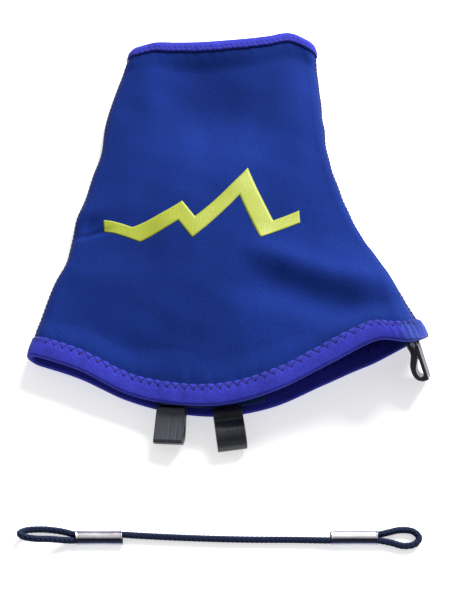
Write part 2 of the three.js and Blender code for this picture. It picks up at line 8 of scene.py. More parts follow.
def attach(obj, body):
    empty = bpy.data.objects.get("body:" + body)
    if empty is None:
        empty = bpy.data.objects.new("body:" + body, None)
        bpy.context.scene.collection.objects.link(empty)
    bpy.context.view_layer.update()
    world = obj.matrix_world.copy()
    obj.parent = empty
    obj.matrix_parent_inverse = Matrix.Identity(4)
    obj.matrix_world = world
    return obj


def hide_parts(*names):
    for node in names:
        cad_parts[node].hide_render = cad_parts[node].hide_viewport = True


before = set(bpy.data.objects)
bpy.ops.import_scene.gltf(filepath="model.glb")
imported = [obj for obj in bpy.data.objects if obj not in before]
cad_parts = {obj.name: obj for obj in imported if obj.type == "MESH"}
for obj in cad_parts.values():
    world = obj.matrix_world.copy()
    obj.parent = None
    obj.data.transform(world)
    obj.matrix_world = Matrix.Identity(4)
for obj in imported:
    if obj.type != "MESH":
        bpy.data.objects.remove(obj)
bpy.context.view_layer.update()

# Sizes and shape lists are in millimetres and match the CAD source. Meshes are
# built in metres, in the row frame: +Z up, +Y to the ankle opening, +X to the
# toes. Places on the cloth are (side, u, v): side 1 is the upper, lateral layer
# and -1 the lower, medial one, u runs from the heel fold to the front fold and
# v from the hem to the ankle opening.

HEM_WIDTH, TOP_WIDTH, SIDE_LENGTH, TOP_INSET = 178.6, 91, 168.8, 42
HEM_BOW, HEM_RISE, TOP_BOW, TOP_RISE = 29, 5.4, 5.4, 3
FRONT_LEAN, FRONT_LEAN_START = (8, 15), 0.86
FOLD_RADIUS = 5
SHELL, BINDING, GAP = 0.8, 0.7, 0.3
HEM_BAND, TOP_BAND = 10.2, 4.8
HEEL_PROFILE = [0, 0.2, 0.45, 0.62, 0.77, 1]
FRONT_PROFILE = [0, 0.29, 0.655, 0.875, 0.95, 1]
HEM_PROFILE = [0, 0.29, 0.69, 0.93, 1, 0.86, 0.52, 0.19, 0]
TOP_PROFILE = [0, 0.42, 0.2, 0.1, 0.2, 0.35, 0.65, 1, 0]
HEM_LIFT = [10, 10, 8, 10.5, 13.5, 18, 21, 25.5, 29.2]
BODY_LIFT = [8, 11, 13, 15, 16, 16, 15, 14, 12]
TOP_LIFT = [9, 10.5, 11.5, 12, 12, 12, 11.5, 11, 9.5]
HEM_LIFT_END, TOP_LIFT_START = 0.36, 0.6
FOLD_SHARE = 1 / 7
THREAD = 0.25
SHIFT = np.array([-90.9082, -66.3485, 0.0002])

BINDING_INSIDE = SHELL / 2 + GAP
BINDING_OUTSIDE = BINDING_INSIDE + BINDING
HEM_STITCH = {"from": 6.9, "to": 10.2, "pitch": 3.5}
TOP_STITCH = {"from": 3.9, "to": 5.9, "pitch": 2.2}
TOP_BAND_SHOWN = 6.0
THREAD_RADIUS = 0.17
SEAM_CLEAR, SEAM_PITCH, SEAM_REACH, SEAM_RAIL = 0.8, 2.4, 1.35, 0.8
HEEL_WALK, FRONT_WALK = 8, 10  # cloth between a fold's tip and the flat layer
PANEL_SPREAD = (0.155, 0.185)  # metres across and along a panel, on its UVs

PRINT_RIDGE = [(-36, -14), (-24, -14), (-12, 3), (-5, -6), (8, 16), (23, -14), (35, -14)]
PRINT_STROKE, PRINT_LEAN, PRINT_CENTRE = 6.5, 0.26, (0.5, 0.485)

HOOK_WIDTH, HOOK_LENGTH, PLATE, BAR = 13.2, 19.6, 1.6, 1.1
SLOT_LENGTH, TAB_WIDTH, TAB_REACH, TAPE = 2.25, 10, 8.8, 0.6
HINGE_INSET, PATCH, PATCH_FROM, PATCH_TO = 2.2, 0.6, 4.5, 15.5
EYE_INNER = BAR * math.sqrt(0.5) + 0.2
EYE_OUTER = EYE_INNER + TAPE
TAPE_DEPTH = BINDING_OUTSIDE + GAP
HINGE_DEPTH = TAPE_DEPTH + EYE_OUTER
PATCH_DEPTH = TAPE_DEPTH + 1 + GAP
TACK_AT, TACK_LENGTH, TACK_WIDTH, TACK_STITCHES = -6.6, 1.4, 9, 26
STATIONS = [
    {"name": "lateral", "side": 1, "across": 0.396, "turn": 5, "droop": 4, "patch": 35},
    {"name": "medial", "side": -1, "across": 0.503, "turn": -3, "droop": -9, "patch": 35},
    {"name": "front", "side": 1, "across": 0.9999, "turn": 6, "droop": 12, "patch": 18},
]

CORD, CORD_Y = 2.5, -149.7
STRAND = CORD / 2 + 0.07
FERRULE_WALL, FERRULE_PLAY, FERRULE_LENGTH = 0.35, 0.18, 20
TUBE = FERRULE_WALL + FERRULE_PLAY
FERRULE_ROUND = 0.016  # metres round the tube, on its UVs
FERRULES = {"left": -56.5, "right": 54.5}
CORD_ROUTE = [
    (-46.2, -STRAND, TUBE), (-56.5, -STRAND, TUBE), (-66.6, -STRAND, TUBE),
    (-71.5, -1.5, 1.55), (-77.5, -1.6, 3.35), (-84, -1.8, 4.55), (-89, -0.7, 4.15),
    (-90.8, 1.2, 2.65), (-88.6, 3.0, 1.05), (-81.5, 3.8, 0.25), (-73, 2.9, 0.25),
    (-66.6, STRAND, TUBE), (-56.5, STRAND, TUBE), (-46.4, STRAND, TUBE),
    (-40, 1, 0.25), (-26, 0.3, 0.15), (-8, -0.4, 0.15), (10, -0.8, 0.15),
    (28, -0.9, 0.15), (38, -1.1, 0.25), (44.4, -STRAND, TUBE), (54.5, -STRAND, TUBE),
    (64.6, -STRAND, TUBE), (70, -2.2, 0.35), (76, -3.7, 0.25), (80.8, -2.7, 0.25),
    (82.6, 0, 0.25), (80.2, 2.8, 0.25), (74.5, 3.5, 0.25), (69, 2.3, 0.35),
    (64.6, STRAND, TUBE), (54.5, STRAND, TUBE), (44, STRAND, TUBE),
]

# ------------------------------------------------------------------------ camera

TARGET, ELEVATION, DISTANCE = Vector((0.0017, -0.0329, 0)), math.radians(63), 0.75
camera = bpy.data.objects.new("camera", bpy.data.cameras.new("camera"))
bpy.context.scene.collection.objects.link(camera)
bpy.context.scene.camera = camera
away = Vector((0, -math.cos(ELEVATION), math.sin(ELEVATION)))
camera.location = TARGET + DISTANCE * away
camera.rotation_mode = "QUATERNION"
camera.rotation_quaternion = (-away).to_track_quat("-Z", "Y")
camera.data.lens = 96
camera.data.clip_start, camera.data.clip_end = 0.01, 20

# ----------------------------------------------------------------- mesh building


def unit(a):
    """Vectors of length 1 along the last axis."""
    return a / np.maximum(np.linalg.norm(a, axis=-1, keepdims=True), 1e-12)


def ease(x, low, high):
    """0 below low and 1 above high, smooth in between."""
    t = np.clip((x - low) / (high - low), 0, 1)
    return t * t * (3 - 2 * t)


def quads(rows, columns, wrap_rows=False, wrap_columns=False):
    """Faces of a grid of points, and the same on its unwrapped grid of UVs."""
    i, j = np.meshgrid(
        np.arange(rows if wrap_rows else rows - 1),
        np.arange(columns if wrap_columns else columns - 1),
        indexing="ij",
    )
    i, j = i.ravel(), j.ravel()
    corners = [(i, j), (i, j + 1), (i + 1, j + 1), (i + 1, j)]
    faces = np.stack([(a % rows) * columns + b % columns for a, b in corners], 1)
    flat = np.stack([a * (columns + 1) + b for a, b in corners], 1)
    return faces, flat


def linked(name, data):
    made = bpy.data.objects.new(name, data)
    bpy.context.scene.collection.objects.link(made)
    return made


def piece(name, node, points, faces, materials, body, uv, uv_faces, index=None):
    """A smooth mesh piece from points in millimetres, in place of a CAD node."""
    mesh = bpy.data.meshes.new(name)
    scaled = np.asarray(points, float).reshape(-1, 3) * 0.001
    mesh.from_pydata(scaled.tolist(), [], [list(map(int, f)) for f in faces])
    for material in materials:
        mesh.materials.append(material)
    if index is not None:
        mesh.polygons.foreach_set("material_index", np.asarray(index, np.int32))
    layer = mesh.uv_layers.new(name="UVMap")
    layer.uv.foreach_set("vector", uv[uv_faces].ravel())
    mesh.update()
    if volume(mesh) < 0:
        mesh.flip_normals()
    mesh.shade_smooth()
    made = linked(name, mesh)
    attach(made, body)
    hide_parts(node)
    return made


def slab(outer, inner):
    """Grid, faces, UV numbers and end faces of a sheet with two sides."""
    columns, rows = outer.shape[:2]
    grid = np.concatenate([outer, inner[:, ::-1]], 1)
    faces, flat = quads(columns, 2 * rows, False, True)
    ends = []
    for ring in (0, columns - 1):
        first = ring * 2 * rows
        for k in range(rows - 1):
            strip = [first + k, first + k + 1, first + 2 * rows - 2 - k,
                     first + 2 * rows - 1 - k]
            ends.append(strip if ring else strip[::-1])
    return grid, faces.tolist() + ends, flat.ravel().tolist() + [0] * (4 * len(ends)), len(ends)


def spread_out(u, v):
    """UVs of a slab: the same on both faces."""
    both = [np.concatenate([a, a[:, ::-1], a[:, :1]], 1) for a in (u, v)]
    return np.stack(both, -1).reshape(-1, 2)


def caps(rows, count):
    """The two faces that close a row of rings."""
    last = (rows - 1) * count
    return [[*range(count)][::-1], [*range(last, last + count)]]


def loft(grid):
    """Faces and UV numbers of a row of rings, with its two ends closed."""
    rows, count = grid.shape[:2]
    faces, flat = quads(rows, count, False, True)
    return faces.tolist() + caps(rows, count), flat.ravel().tolist() + [0] * (2 * count)


def crossed(u, v):
    """UVs of a grid with the given values along and round it."""
    return np.stack(np.meshgrid(u, v, indexing="ij"), -1).reshape(-1, 2)


def volume(mesh):
    """Signed volume inside a closed mesh, to turn its faces outwards."""
    co = np.zeros(len(mesh.vertices) * 3)
    mesh.vertices.foreach_get("co", co)
    co = co.reshape(-1, 3)
    mesh.calc_loop_triangles()
    tri = np.zeros(len(mesh.loop_triangles) * 3, np.int32)
    mesh.loop_triangles.foreach_get("vertices", tri)
    a, b, c = (co[tri[k::3]] for k in range(3))
    return float(np.einsum("ij,ij->i", a, np.cross(b, c)).sum()) / 6


def carried(path, closed=False):
    """Directions across a path that turn with it as little as they can."""
    ahead = np.roll(path, -1, 0) - np.roll(path, 1, 0)
    if not closed:
        ahead[0], ahead[-1] = path[1] - path[0], path[-1] - path[-2]
    ahead = unit(ahead)
    first = np.cross(ahead[0], [0, 0, 1.0])
    if np.linalg.norm(first) < 0.1:
        first = np.cross(ahead[0], [0, 1.0, 0])
    across = np.zeros_like(path)
    across[0] = unit(first)
    for k in range(1, len(path)):
        turned = across[k - 1] - ahead[k] * (across[k - 1] @ ahead[k])
        across[k] = turned / np.linalg.norm(turned)
    return across, np.cross(ahead, across)


def walked(path):
    """Distance along a path at each of its points."""
    return np.concatenate([[0], np.cumsum(np.linalg.norm(np.diff(path, axis=0), axis=1))])


def resampled(path, step):
    """The same path with points at an even step."""
    at = walked(path)
    even = np.linspace(0, at[-1], max(int(round(at[-1] / step)), 2) + 1)
    return np.stack([np.interp(even, at, path[:, k]) for k in range(3)], 1)


def tube(path, radius, sides, relief=None, closed=False):
    """Points, faces and UVs of a tube. relief(turn, distance) adds to its radius."""
    across, up = carried(path, closed)
    turn = np.arange(sides) / sides
    at = walked(path)
    spread = np.full((len(path), sides), float(radius))
    if relief is not None:
        spread = spread + relief(turn[None, :], at[:, None])
    angle = 2 * np.pi * turn
    ring = (
        across[:, None, :] * np.cos(angle)[None, :, None]
        + up[:, None, :] * np.sin(angle)[None, :, None]
    )
    points = path[:, None, :] + ring * spread[:, :, None]
    faces, flat = quads(len(path), sides, closed, True)
    u = np.append(at, at[-1] + np.linalg.norm(path[0] - path[-1])) * 0.001
    v = np.append(turn, 1) * 2 * np.pi * radius * 0.001
    uv = crossed(u, v)
    faces, flat = faces.tolist(), flat.ravel().tolist()
    if not closed:
        faces += caps(len(path), sides)
        flat += [*range(sides)][::-1] + [*range(sides)]
    return points.reshape(-1, 3), faces, uv, flat


def joined(parts):
    """Several (points, faces, uv, uv faces) as one."""
    points, faces, uvs, flats = [], [], [], []
    p0 = u0 = 0
    for p, f, u, g in parts:
        faces += [[i + p0 for i in face] for face in f]
        flats += [i + u0 for i in g]
        points.append(p)
        uvs.append(u)
        p0 += len(p)
        u0 += len(u)
    return np.concatenate(points), faces, np.concatenate(uvs), flats


# ------------------------------------------------------------ shape of the cloth


def through(values, t):
    """Smooth curve through equally spaced values, at t from 0 to 1."""
    v = np.asarray(values, float)
    at = np.clip(t, 0, 1) * (len(v) - 1)
    i = np.minimum(np.floor(at).astype(int), len(v) - 2)
    f = at - i
    ends = np.concatenate([[2 * v[0] - v[1]], v, [2 * v[-1] - v[-2]]])
    p0, p1, p2, p3 = (ends[i + k] for k in range(4))
    slope1, slope2 = (p2 - p0) / 2, (p3 - p1) / 2
    curve = 2 * (p1 - p2) + slope1 + slope2
    return ((curve * f + 3 * (p2 - p1) - 2 * slope1 - slope2) * f + slope1) * f + p1


def lerp(a, b, t):
    return a + (b - a) * t


def heel_edge(v):
    return np.stack([TOP_INSET * through(HEEL_PROFILE, v), SIDE_LENGTH * v], -1)


def front_edge(v):
    x = lerp(HEM_WIDTH, TOP_INSET + TOP_WIDTH, through(FRONT_PROFILE, v))
    return np.stack([x, lerp(HEM_RISE, SIDE_LENGTH + TOP_RISE, v)], -1)


def hem_edge(s):
    return np.stack([HEM_WIDTH * s, HEM_RISE * s - HEM_BOW * through(HEM_PROFILE, s)], -1)


def top_edge(s):
    y = SIDE_LENGTH + TOP_RISE * s + TOP_BOW * through(TOP_PROFILE, s)
    return np.stack([TOP_INSET + TOP_WIDTH * s, y], -1)


def plan(s, v):
    """Flattened tube's plan: a patch between its four edges."""
    s1, v1 = s[..., None], v[..., None]
    zero, one = np.zeros_like(s), np.ones_like(s)
    across = lerp(hem_edge(s), top_edge(s), v1)
    along = lerp(heel_edge(v), front_edge(v), s1)
    hem = lerp(hem_edge(zero), hem_edge(one), s1)
    top = lerp(top_edge(zero), top_edge(one), s1)
    return across + along - lerp(hem, top, v1)


def row_length(u):
    return np.linalg.norm(hem_edge(u) - top_edge(u), axis=-1)


def lift(t, v):
    """Distance between the two layers."""
    hem, body, top = through(HEM_LIFT, t), through(BODY_LIFT, t), through(TOP_LIFT, t)
    return lerp(lerp(hem, body, ease(v, 0, HEM_LIFT_END)), top, ease(v, TOP_LIFT_START, 1))


def ground(v):
    """Height of the lower layer's middle, raised at the bindings."""
    raised = SHELL / 2 + BINDING + GAP * 2 + THREAD * 2
    hem = 1 - ease(v * SIDE_LENGTH, HEM_BAND, HEM_BAND * 2)
    top = 1 - ease((1 - v) * SIDE_LENGTH, TOP_BAND, TOP_BAND * 3)
    return lerp(SHELL / 2, raised, np.maximum(hem, top))


def fold(height, share):
    """A fold's outline from its tip at 0 to the flat layer at 1."""
    r = np.minimum(FOLD_RADIUS, height / 2)
    upright = height / 2 - r
    way = share * (upright + r * np.pi / 2)
    turn = np.maximum(way - upright, 0) / r
    rise = np.where(way < upright, way, upright + r * np.sin(turn))
    return r * (1 - np.cos(turn)), rise


def cloth(side, u, v):
    """Point in the middle of the cloth, as in the CAD source."""
    side, u, v = np.broadcast_arrays(
        np.asarray(side, float), np.asarray(u, float), np.asarray(v, float)
    )
    width = np.linalg.norm(heel_edge(v) - front_edge(v), axis=-1)
    heel, front, low = lift(0 * v, v), lift(0 * v + 1, v), ground(v)
    heel_run, heel_rise = fold(heel, np.clip(u / FOLD_SHARE, 0, 1))
    front_run, front_rise = fold(front, np.clip((1 - u) / FOLD_SHARE, 0, 1))
    t = np.clip((u - FOLD_SHARE) / (1 - 2 * FOLD_SHARE), 0, 1)
    heel_end, front_end = fold(heel, 1 + 0 * v)[0], fold(front, 1 + 0 * v)[0]
    s = lerp(heel_end / width, 1 - front_end / width, t)
    z = low + np.where(side > 0, lift(t, v), 0)
    at_heel, at_front = u < FOLD_SHARE, u > 1 - FOLD_SHARE
    s = np.where(at_heel, heel_run / width, np.where(at_front, 1 - front_run / width, s))
    z = np.where(at_heel, low + heel / 2 + side * heel_rise, z)
    z = np.where(at_front, low + front / 2 + side * front_rise, z)
    p = plan(s, v)
    lean = (0.5 - (z - low) / lift(s, v)) * ease(s, FRONT_LEAN_START, 1) * (1 - ease(v, 0, 0.3))
    return np.stack(
        [p[..., 0] + FRONT_LEAN[0] * lean, p[..., 1] + FRONT_LEAN[1] * lean, z], -1
    )


def cloth_frame(side, u, v):
    """Outward normal of the cloth, and its directions across and along."""
    e = 1e-3
    u0, v0 = np.clip(u - e, 0, 1 - 2 * e), np.clip(v - e, 0, 1 - 2 * e)
    across = unit(cloth(side, u0 + 2 * e, v) - cloth(side, u0, v))
    along = unit(cloth(side, u, v0 + 2 * e) - cloth(side, u, v0))
    normal = unit(np.cross(across, along)) * np.asarray(side, float)[..., None]
    return normal, across, along


def hump(x, y, cx, cy, rx, ry, degrees=0):
    """Round or oval hump of height 1 at (cx, cy)."""
    c, s = math.cos(math.radians(degrees)), math.sin(math.radians(degrees))
    a, b = (x - cx) * c + (y - cy) * s, (y - cy) * c - (x - cx) * s
    return np.exp(-((a / rx) ** 2) - (b / ry) ** 2)


def roll(x, y, start, end, width):
    """Long hump of height 1 from start to end, thinning out at both."""
    (x0, y0), (x1, y1) = start, end
    length = math.hypot(x1 - x0, y1 - y0)
    dx, dy = (x1 - x0) / length, (y1 - y0) / length
    along = (x - x0) * dx + (y - y0) * dy
    off = (y - y0) * dx - (x - x0) * dy
    fade = ease(along, -width, 0.25 * length) * (1 - ease(along, 0.75 * length, length + width))
    return np.exp(-((off / width) ** 2)) * fade


def ripple(x, y, seed, size):
    """Smooth even unevenness of about the given size, from -1 to 1."""
    rng = np.random.default_rng(seed)
    total = 0
    for _ in range(9):
        way = rng.uniform(0, 2 * np.pi)
        rate = 2 * np.pi / (size * rng.uniform(0.7, 1.5))
        phase = rng.uniform(0, 2 * np.pi)
        total = total + np.sin(rate * (x * math.cos(way) + y * math.sin(way)) + phase)
    return total / 4.5


def relief(side, u, v):
    """How far the lying cloth stands off its smooth shape: folds, dents, puckers."""
    p = cloth(side, u, v) + SHIFT
    x, y = p[..., 0], p[..., 1]
    from_hem = v * row_length(u)
    from_top = (1 - v) * row_length(u)
    upper = (
        -8.2 * hump(x, y, -7, 64, 27, 24)
        - 1.8 * hump(x, y, -12, 40, 10, 24)
        + 1.8 * hump(x, y, -40, 72, 9, 20)
        + 1.8 * hump(x, y, 32, 64, 10, 22)
        + 2.6 * roll(x, y, (4, -12), (78, -40), 8)
        - 3.4 * roll(x, y, (8, -29), (66, -52), 10)
        - 2.4 * hump(x, y, -68, 3, 8, 6, 15)
        + 0.9 * roll(x, y, (-84, 4), (-48, 10), 6)
        - 0.9 * roll(x, y, (-80, -5), (-54, -1), 1.8)
        + 0.6 * roll(x, y, (-78, -22), (-40, -30), 8)
        + 0.9 * hump(x, y, -26, -71, 19, 7)
        - 0.25 * roll(x, y, (-42, -62), (-12, -67), 2.2)
        + 0.6 * ripple(x, y, 3, 46)
        + 0.18 * ripple(x, y, 8, 17)
    )
    lower = 0.15 * ripple(x, y, 5, 30) - 0.15
    soft = np.where(np.asarray(side) > 0, upper, lower)
    soft = soft * ease(u, 0, 0.16) * ease(1 - u, 0, 0.16)
    soft = soft * ease(from_hem, 0, 26) * ease(from_top, 1, 17)
    pucker = 0.16 * ripple(x, y * 0.25, 11, 6) * np.exp(-((from_hem - 11) / 8) ** 2)
    pucker = pucker + 0.10 * ripple(x, y * 0.25, 12, 4) * np.exp(-((from_top - 6) / 6) ** 2)
    kinks = 1.6 * hump(0, v, 0, 0.436, 1, 0.05) - 1.4 * hump(0, v, 0, 0.30, 1, 0.045)
    kinks = (kinks - 1.5 * hump(0, v, 0, 0.66, 1, 0.06)) * np.exp(-((u / 0.10) ** 2))
    waver = 0.35 * ripple(x, y, 31, 15) * np.exp(-(((1 - u) / 0.08) ** 2))
    waver = waver * ease(from_hem, 12, 30) * ease(from_top, 6, 20)
    ridge = 0.45 * (np.exp(-(u / 0.012) ** 2) + np.exp(-((1 - u) / 0.010) ** 2))
    ridge = ridge * ease(from_hem, 8, 13) * ease(from_top, 4, 8)
    return soft + pucker + ridge + kinks + waver


def skin(side, u, v, n):
    """Point at height n over the middle of the cloth as it lies, outwards."""
    side, u, v = np.broadcast_arrays(
        np.asarray(side, float), np.asarray(u, float), np.asarray(v, float)
    )
    normal = cloth_frame(side, u, v)[0]
    reach = np.asarray(n, float) + relief(side, u, v)
    return cloth(side, u, v) + normal * reach[..., None] + SHIFT


def round_tube(place, edge, a, n):
    """The same at a place round the tube and a distance in from hem or top."""
    turn = np.asarray(place, float) % 1
    side = np.where(turn <= 0.5, 1.0, -1.0)
    u = np.where(turn <= 0.5, 2 * turn, 2 - 2 * turn)
    share = a / row_length(u)
    return skin(side, u, share if edge == "hem" else 1 - share, n)


# --------------------------------------------------------------------- materials


class Look:
    """A procedural material: a Principled shader and short ways to feed it."""

    def __init__(self, name, roughness, specular=0.3, metallic=0.0, sheen=0.0, tint=None,
                 coat=0.0):
        self.material = bpy.data.materials.new(name)
        self.material.use_nodes = True
        self.tree = self.material.node_tree
        self.shader = self.tree.nodes["Principled BSDF"]
        values = {"Roughness": roughness, "Specular IOR Level": specular,
                  "Metallic": metallic, "Sheen Weight": sheen, "Sheen Roughness": 0.45,
                  "Coat Weight": coat, "Coat Roughness": 0.15}
        for key, value in values.items():
            self.shader.inputs[key].default_value = value
        if tint:
            self.shader.inputs["Sheen Tint"].default_value = (*tint, 1)
        self.material.diffuse_color = (0.5, 0.5, 0.5, 1)

    def node(self, kind, **settings):
        made = self.tree.nodes.new(kind)
        for key, value in settings.items():
            setattr(made, key, value)
        return made

    def feed(self, socket, value):
        if isinstance(value, bpy.types.NodeSocket):
            self.tree.links.new(value, socket)
        elif isinstance(value, tuple) and len(value) == 3 and len(socket.default_value) == 4:
            socket.default_value = (*value, 1)
        else:
            socket.default_value = value

    def place(self, which="Object", scale=(1, 1, 1), turn=(0, 0, 0)):
        """Coordinates: Object is metres in the row frame, UV metres along and across."""
        source = self.node("ShaderNodeTexCoord").outputs[which]
        mapping = self.node("ShaderNodeMapping")
        self.feed(mapping.inputs["Vector"], source)
        mapping.inputs["Scale"].default_value = scale
        mapping.inputs["Rotation"].default_value = turn
        return mapping.outputs[0]

    def noise(self, size_mm, detail=3, roughness=0.55, which="Object", stretch=(1, 1, 1)):
        """Noise from 0 to 1 with features of about size_mm."""
        made = self.node("ShaderNodeTexNoise")
        k = 1000 / size_mm
        self.feed(made.inputs["Vector"], self.place(which, tuple(k * s for s in stretch)))
        made.inputs["Scale"].default_value = 1
        made.inputs["Detail"].default_value = detail
        made.inputs["Roughness"].default_value = roughness
        return made.outputs["Fac"]

    def wave(self, pitch_mm, direction="X", distortion=0.0, which="UV", turn=0.0):
        """Even ribs at the given pitch, 0 to 1."""
        made = self.node("ShaderNodeTexWave", bands_direction=direction)
        k = 1000 / pitch_mm * math.pi / 10
        self.feed(made.inputs["Vector"], self.place(which, (k, k, k), (0, 0, turn)))
        made.inputs["Scale"].default_value = 1
        made.inputs["Distortion"].default_value = distortion
        made.inputs["Detail"].default_value = 1
        return made.outputs["Fac"]

    def math(self, operation, a, b=0.0):
        made = self.node("ShaderNodeMath", operation=operation)
        self.feed(made.inputs[0], a)
        self.feed(made.inputs[1], b)
        return made.outputs[0]

    def ramp(self, value, stops):
        made = self.node("ShaderNodeValToRGB")
        self.feed(made.inputs[0], value)
        elements = made.color_ramp.elements
        while len(elements) < len(stops):
            elements.new(0.5)
        for element, (at, colour) in zip(elements, stops):
            element.position = at
            element.color = (*colour, 1)
        return made.outputs[0]

    def mix(self, share, a, b, blend="MIX"):
        made = self.node("ShaderNodeMix", data_type="RGBA", blend_type=blend)
        self.feed(made.inputs[0], share)
        self.feed(made.inputs[6], a)
        self.feed(made.inputs[7], b)
        return made.outputs[2]

    def split(self, which="UV"):
        """Coordinates one by one."""
        made = self.node("ShaderNodeSeparateXYZ")
        self.feed(made.inputs[0], self.node("ShaderNodeTexCoord").outputs[which])
        return made.outputs

    def between(self, value, low, high):
        """0 below low and 1 above high."""
        made = self.node("ShaderNodeMapRange")
        self.feed(made.inputs["Value"], value)
        made.inputs["From Min"].default_value = low
        made.inputs["From Max"].default_value = high
        return made.outputs[0]

    def three(self, value, places, tones):
        """A ramp through a dark, a middle and a light tone."""
        return self.ramp(value, list(zip(places, tones)))

    def patchy(self, share, tone, noise, places=(0.3, 0.7), depth=0.1):
        """The tone with darker and lighter clouds laid over it."""
        greys = ((0.5 - depth,) * 3, (0.5 + depth,) * 3)
        return self.mix(share, tone, self.three(noise, places, greys), "OVERLAY")

    def bump(self, height, depth_mm, normal=None):
        made = self.node("ShaderNodeBump")
        made.inputs["Strength"].default_value = 1
        made.inputs["Distance"].default_value = depth_mm * 0.001
        self.feed(made.inputs["Height"], height)
        if normal is not None:
            self.feed(made.inputs["Normal"], normal)
        return made.outputs[0]

    def finish(self, colour, normal=None, roughness=None):
        self.feed(self.shader.inputs["Base Color"], colour)
        if normal is not None:
            self.feed(self.shader.inputs["Normal"], normal)
        if roughness is not None:
            self.feed(self.shader.inputs["Roughness"], roughness)
        return self.material


def shades(colour, *factors):
    """A colour made darker or lighter, once for each factor."""
    return [tuple(min(c * f, 1) for c in colour) for f in factors]


def softshell_outside():
    look = Look("softshell_outside", 0.9, 0.08, sheen=0.06, tint=(0.2, 0.35, 0.9))
    tones = shades((0.0036, 0.0176, 0.138), 0.82, 1.0, 1.2)
    colour = look.three(look.noise(1.1, 4, 0.7), (0.3, 0.5, 0.72), tones)
    colour = look.patchy(0.55, colour, look.noise(34, 2, 0.5), (0.35, 0.65), 0.08)
    knit = look.math("MULTIPLY", look.wave(0.75, "X", 0.3), look.wave(0.62, "Y", 0.3))
    fuzz = look.noise(0.5, 3, 0.6)
    normal = look.bump(fuzz, 0.10, look.bump(knit, 0.05))
    return look.finish(colour, normal)


def softshell_inside():
    look = Look("softshell_inside", 0.95, 0.04, sheen=0.1, tint=(0.35, 0.1, 0.8))
    tones = shades((0.022, 0.0025, 0.13), 0.7, 1.0, 1.4)
    colour = look.three(look.noise(1.6, 4, 0.7), (0.3, 0.5, 0.75), tones)
    pile = look.math("ADD", look.noise(0.7, 4, 0.7), look.noise(3.0, 2, 0.5))
    return look.finish(colour, look.bump(pile, 0.25))


def elastic(name, colour, stitch, turns_per_m, hole, leg_dent_and_shade):
    """Brushed elastic binding: cross ribs, fuzz, and painted shade at the needle holes and
    along each leg of its zigzag stitches.
    """
    look = Look(name, 0.88, 0.1, sheen=0.16, tint=(0.35, 0.4, 1.0))
    fuzz = look.noise(0.8, 4, 0.7)
    tone = look.three(fuzz, (0.3, 0.5, 0.72), shades(colour, 0.68, 1.0, 1.25))
    tone = look.patchy(0.8, tone, look.noise(9, 2, 0.5), depth=0.08)
    ribs = look.wave(0.7, "X", 0.6)
    run, across = look.split()[:2]
    phase = look.math("FRACT", look.math("MULTIPLY", run, turns_per_m))
    swing = look.math("ABSOLUTE", look.math("SUBTRACT", phase, 0.5))
    row = look.math("MULTIPLY", across, 1000.0)
    # distances to the needle hole and to each leg of the stitch, in millimetres
    along = look.math("MULTIPLY", swing, 1000 / turns_per_m)
    off = look.math("SUBTRACT", row, stitch["from"])
    far = look.math("SQRT", look.math(
        "ADD", look.math("POWER", along, 2.0), look.math("POWER", off, 2.0)))
    reach = stitch["to"] - stitch["from"]
    leg = look.math("SUBTRACT", off, look.math("MULTIPLY", swing, 2 * reach))
    slope = 2 * reach * turns_per_m / 1000
    beside = look.math("MULTIPLY", look.math("ABSOLUTE", leg), 1 / math.hypot(1, slope))
    # painted shade: the tone is darkened at each needle hole and beside each leg of the stitch,
    # where the thread sinks in
    for distance, low, high, painted_shade in ((far, hole * 0.5, hole * 1.4, 0.06),
                                      (beside, 0.06, 0.36, leg_dent_and_shade)):
        tone = look.mix(look.between(distance, low, high), shades(colour, painted_shade)[0], tone)
    # the band is darker and duller by the front hook
    darker_by_front_hook = look.math("MULTIPLY", look.between(look.split("Object")[0], 0.074, 0.080), 0.75)
    tone = look.mix(darker_by_front_hook, tone, look.three(
        fuzz, (0.3, 0.7), ((0.018, 0.034, 0.15), (0.035, 0.065, 0.27))))
    height = look.math("ADD", look.math("MULTIPLY", ribs, 0.12), fuzz)
    return look.finish(tone, look.bump(height, 0.14))


def thread_look(name, colour, ply_mm=0.5):
    look = Look(name, 0.6, 0.3, sheen=0.15, tint=(0.8, 0.8, 1.0))
    dark, light = shades(colour, 0.7, 1.2)
    ply = look.wave(ply_mm, "X", 0.0, turn=0.6)
    tone = look.patchy(0.4, look.mix(ply, dark, light), look.noise(1.5))
    return look.finish(tone, look.bump(ply, 0.05))


def woven_tape(name, colour):
    look = Look(name, 0.75, 0.2, sheen=0.12, tint=(0.6, 0.7, 1.0))
    dark, light = shades(colour, 0.55, 1.45)
    weft, warp = look.wave(0.55, "X", 0.2), look.wave(0.4, "Y", 0.2)
    weave = look.math("MULTIPLY", weft, warp)
    tone = look.patchy(0.4, look.mix(weave, dark, light), look.noise(2.5))
    return look.finish(tone, look.bump(weave, 0.12))


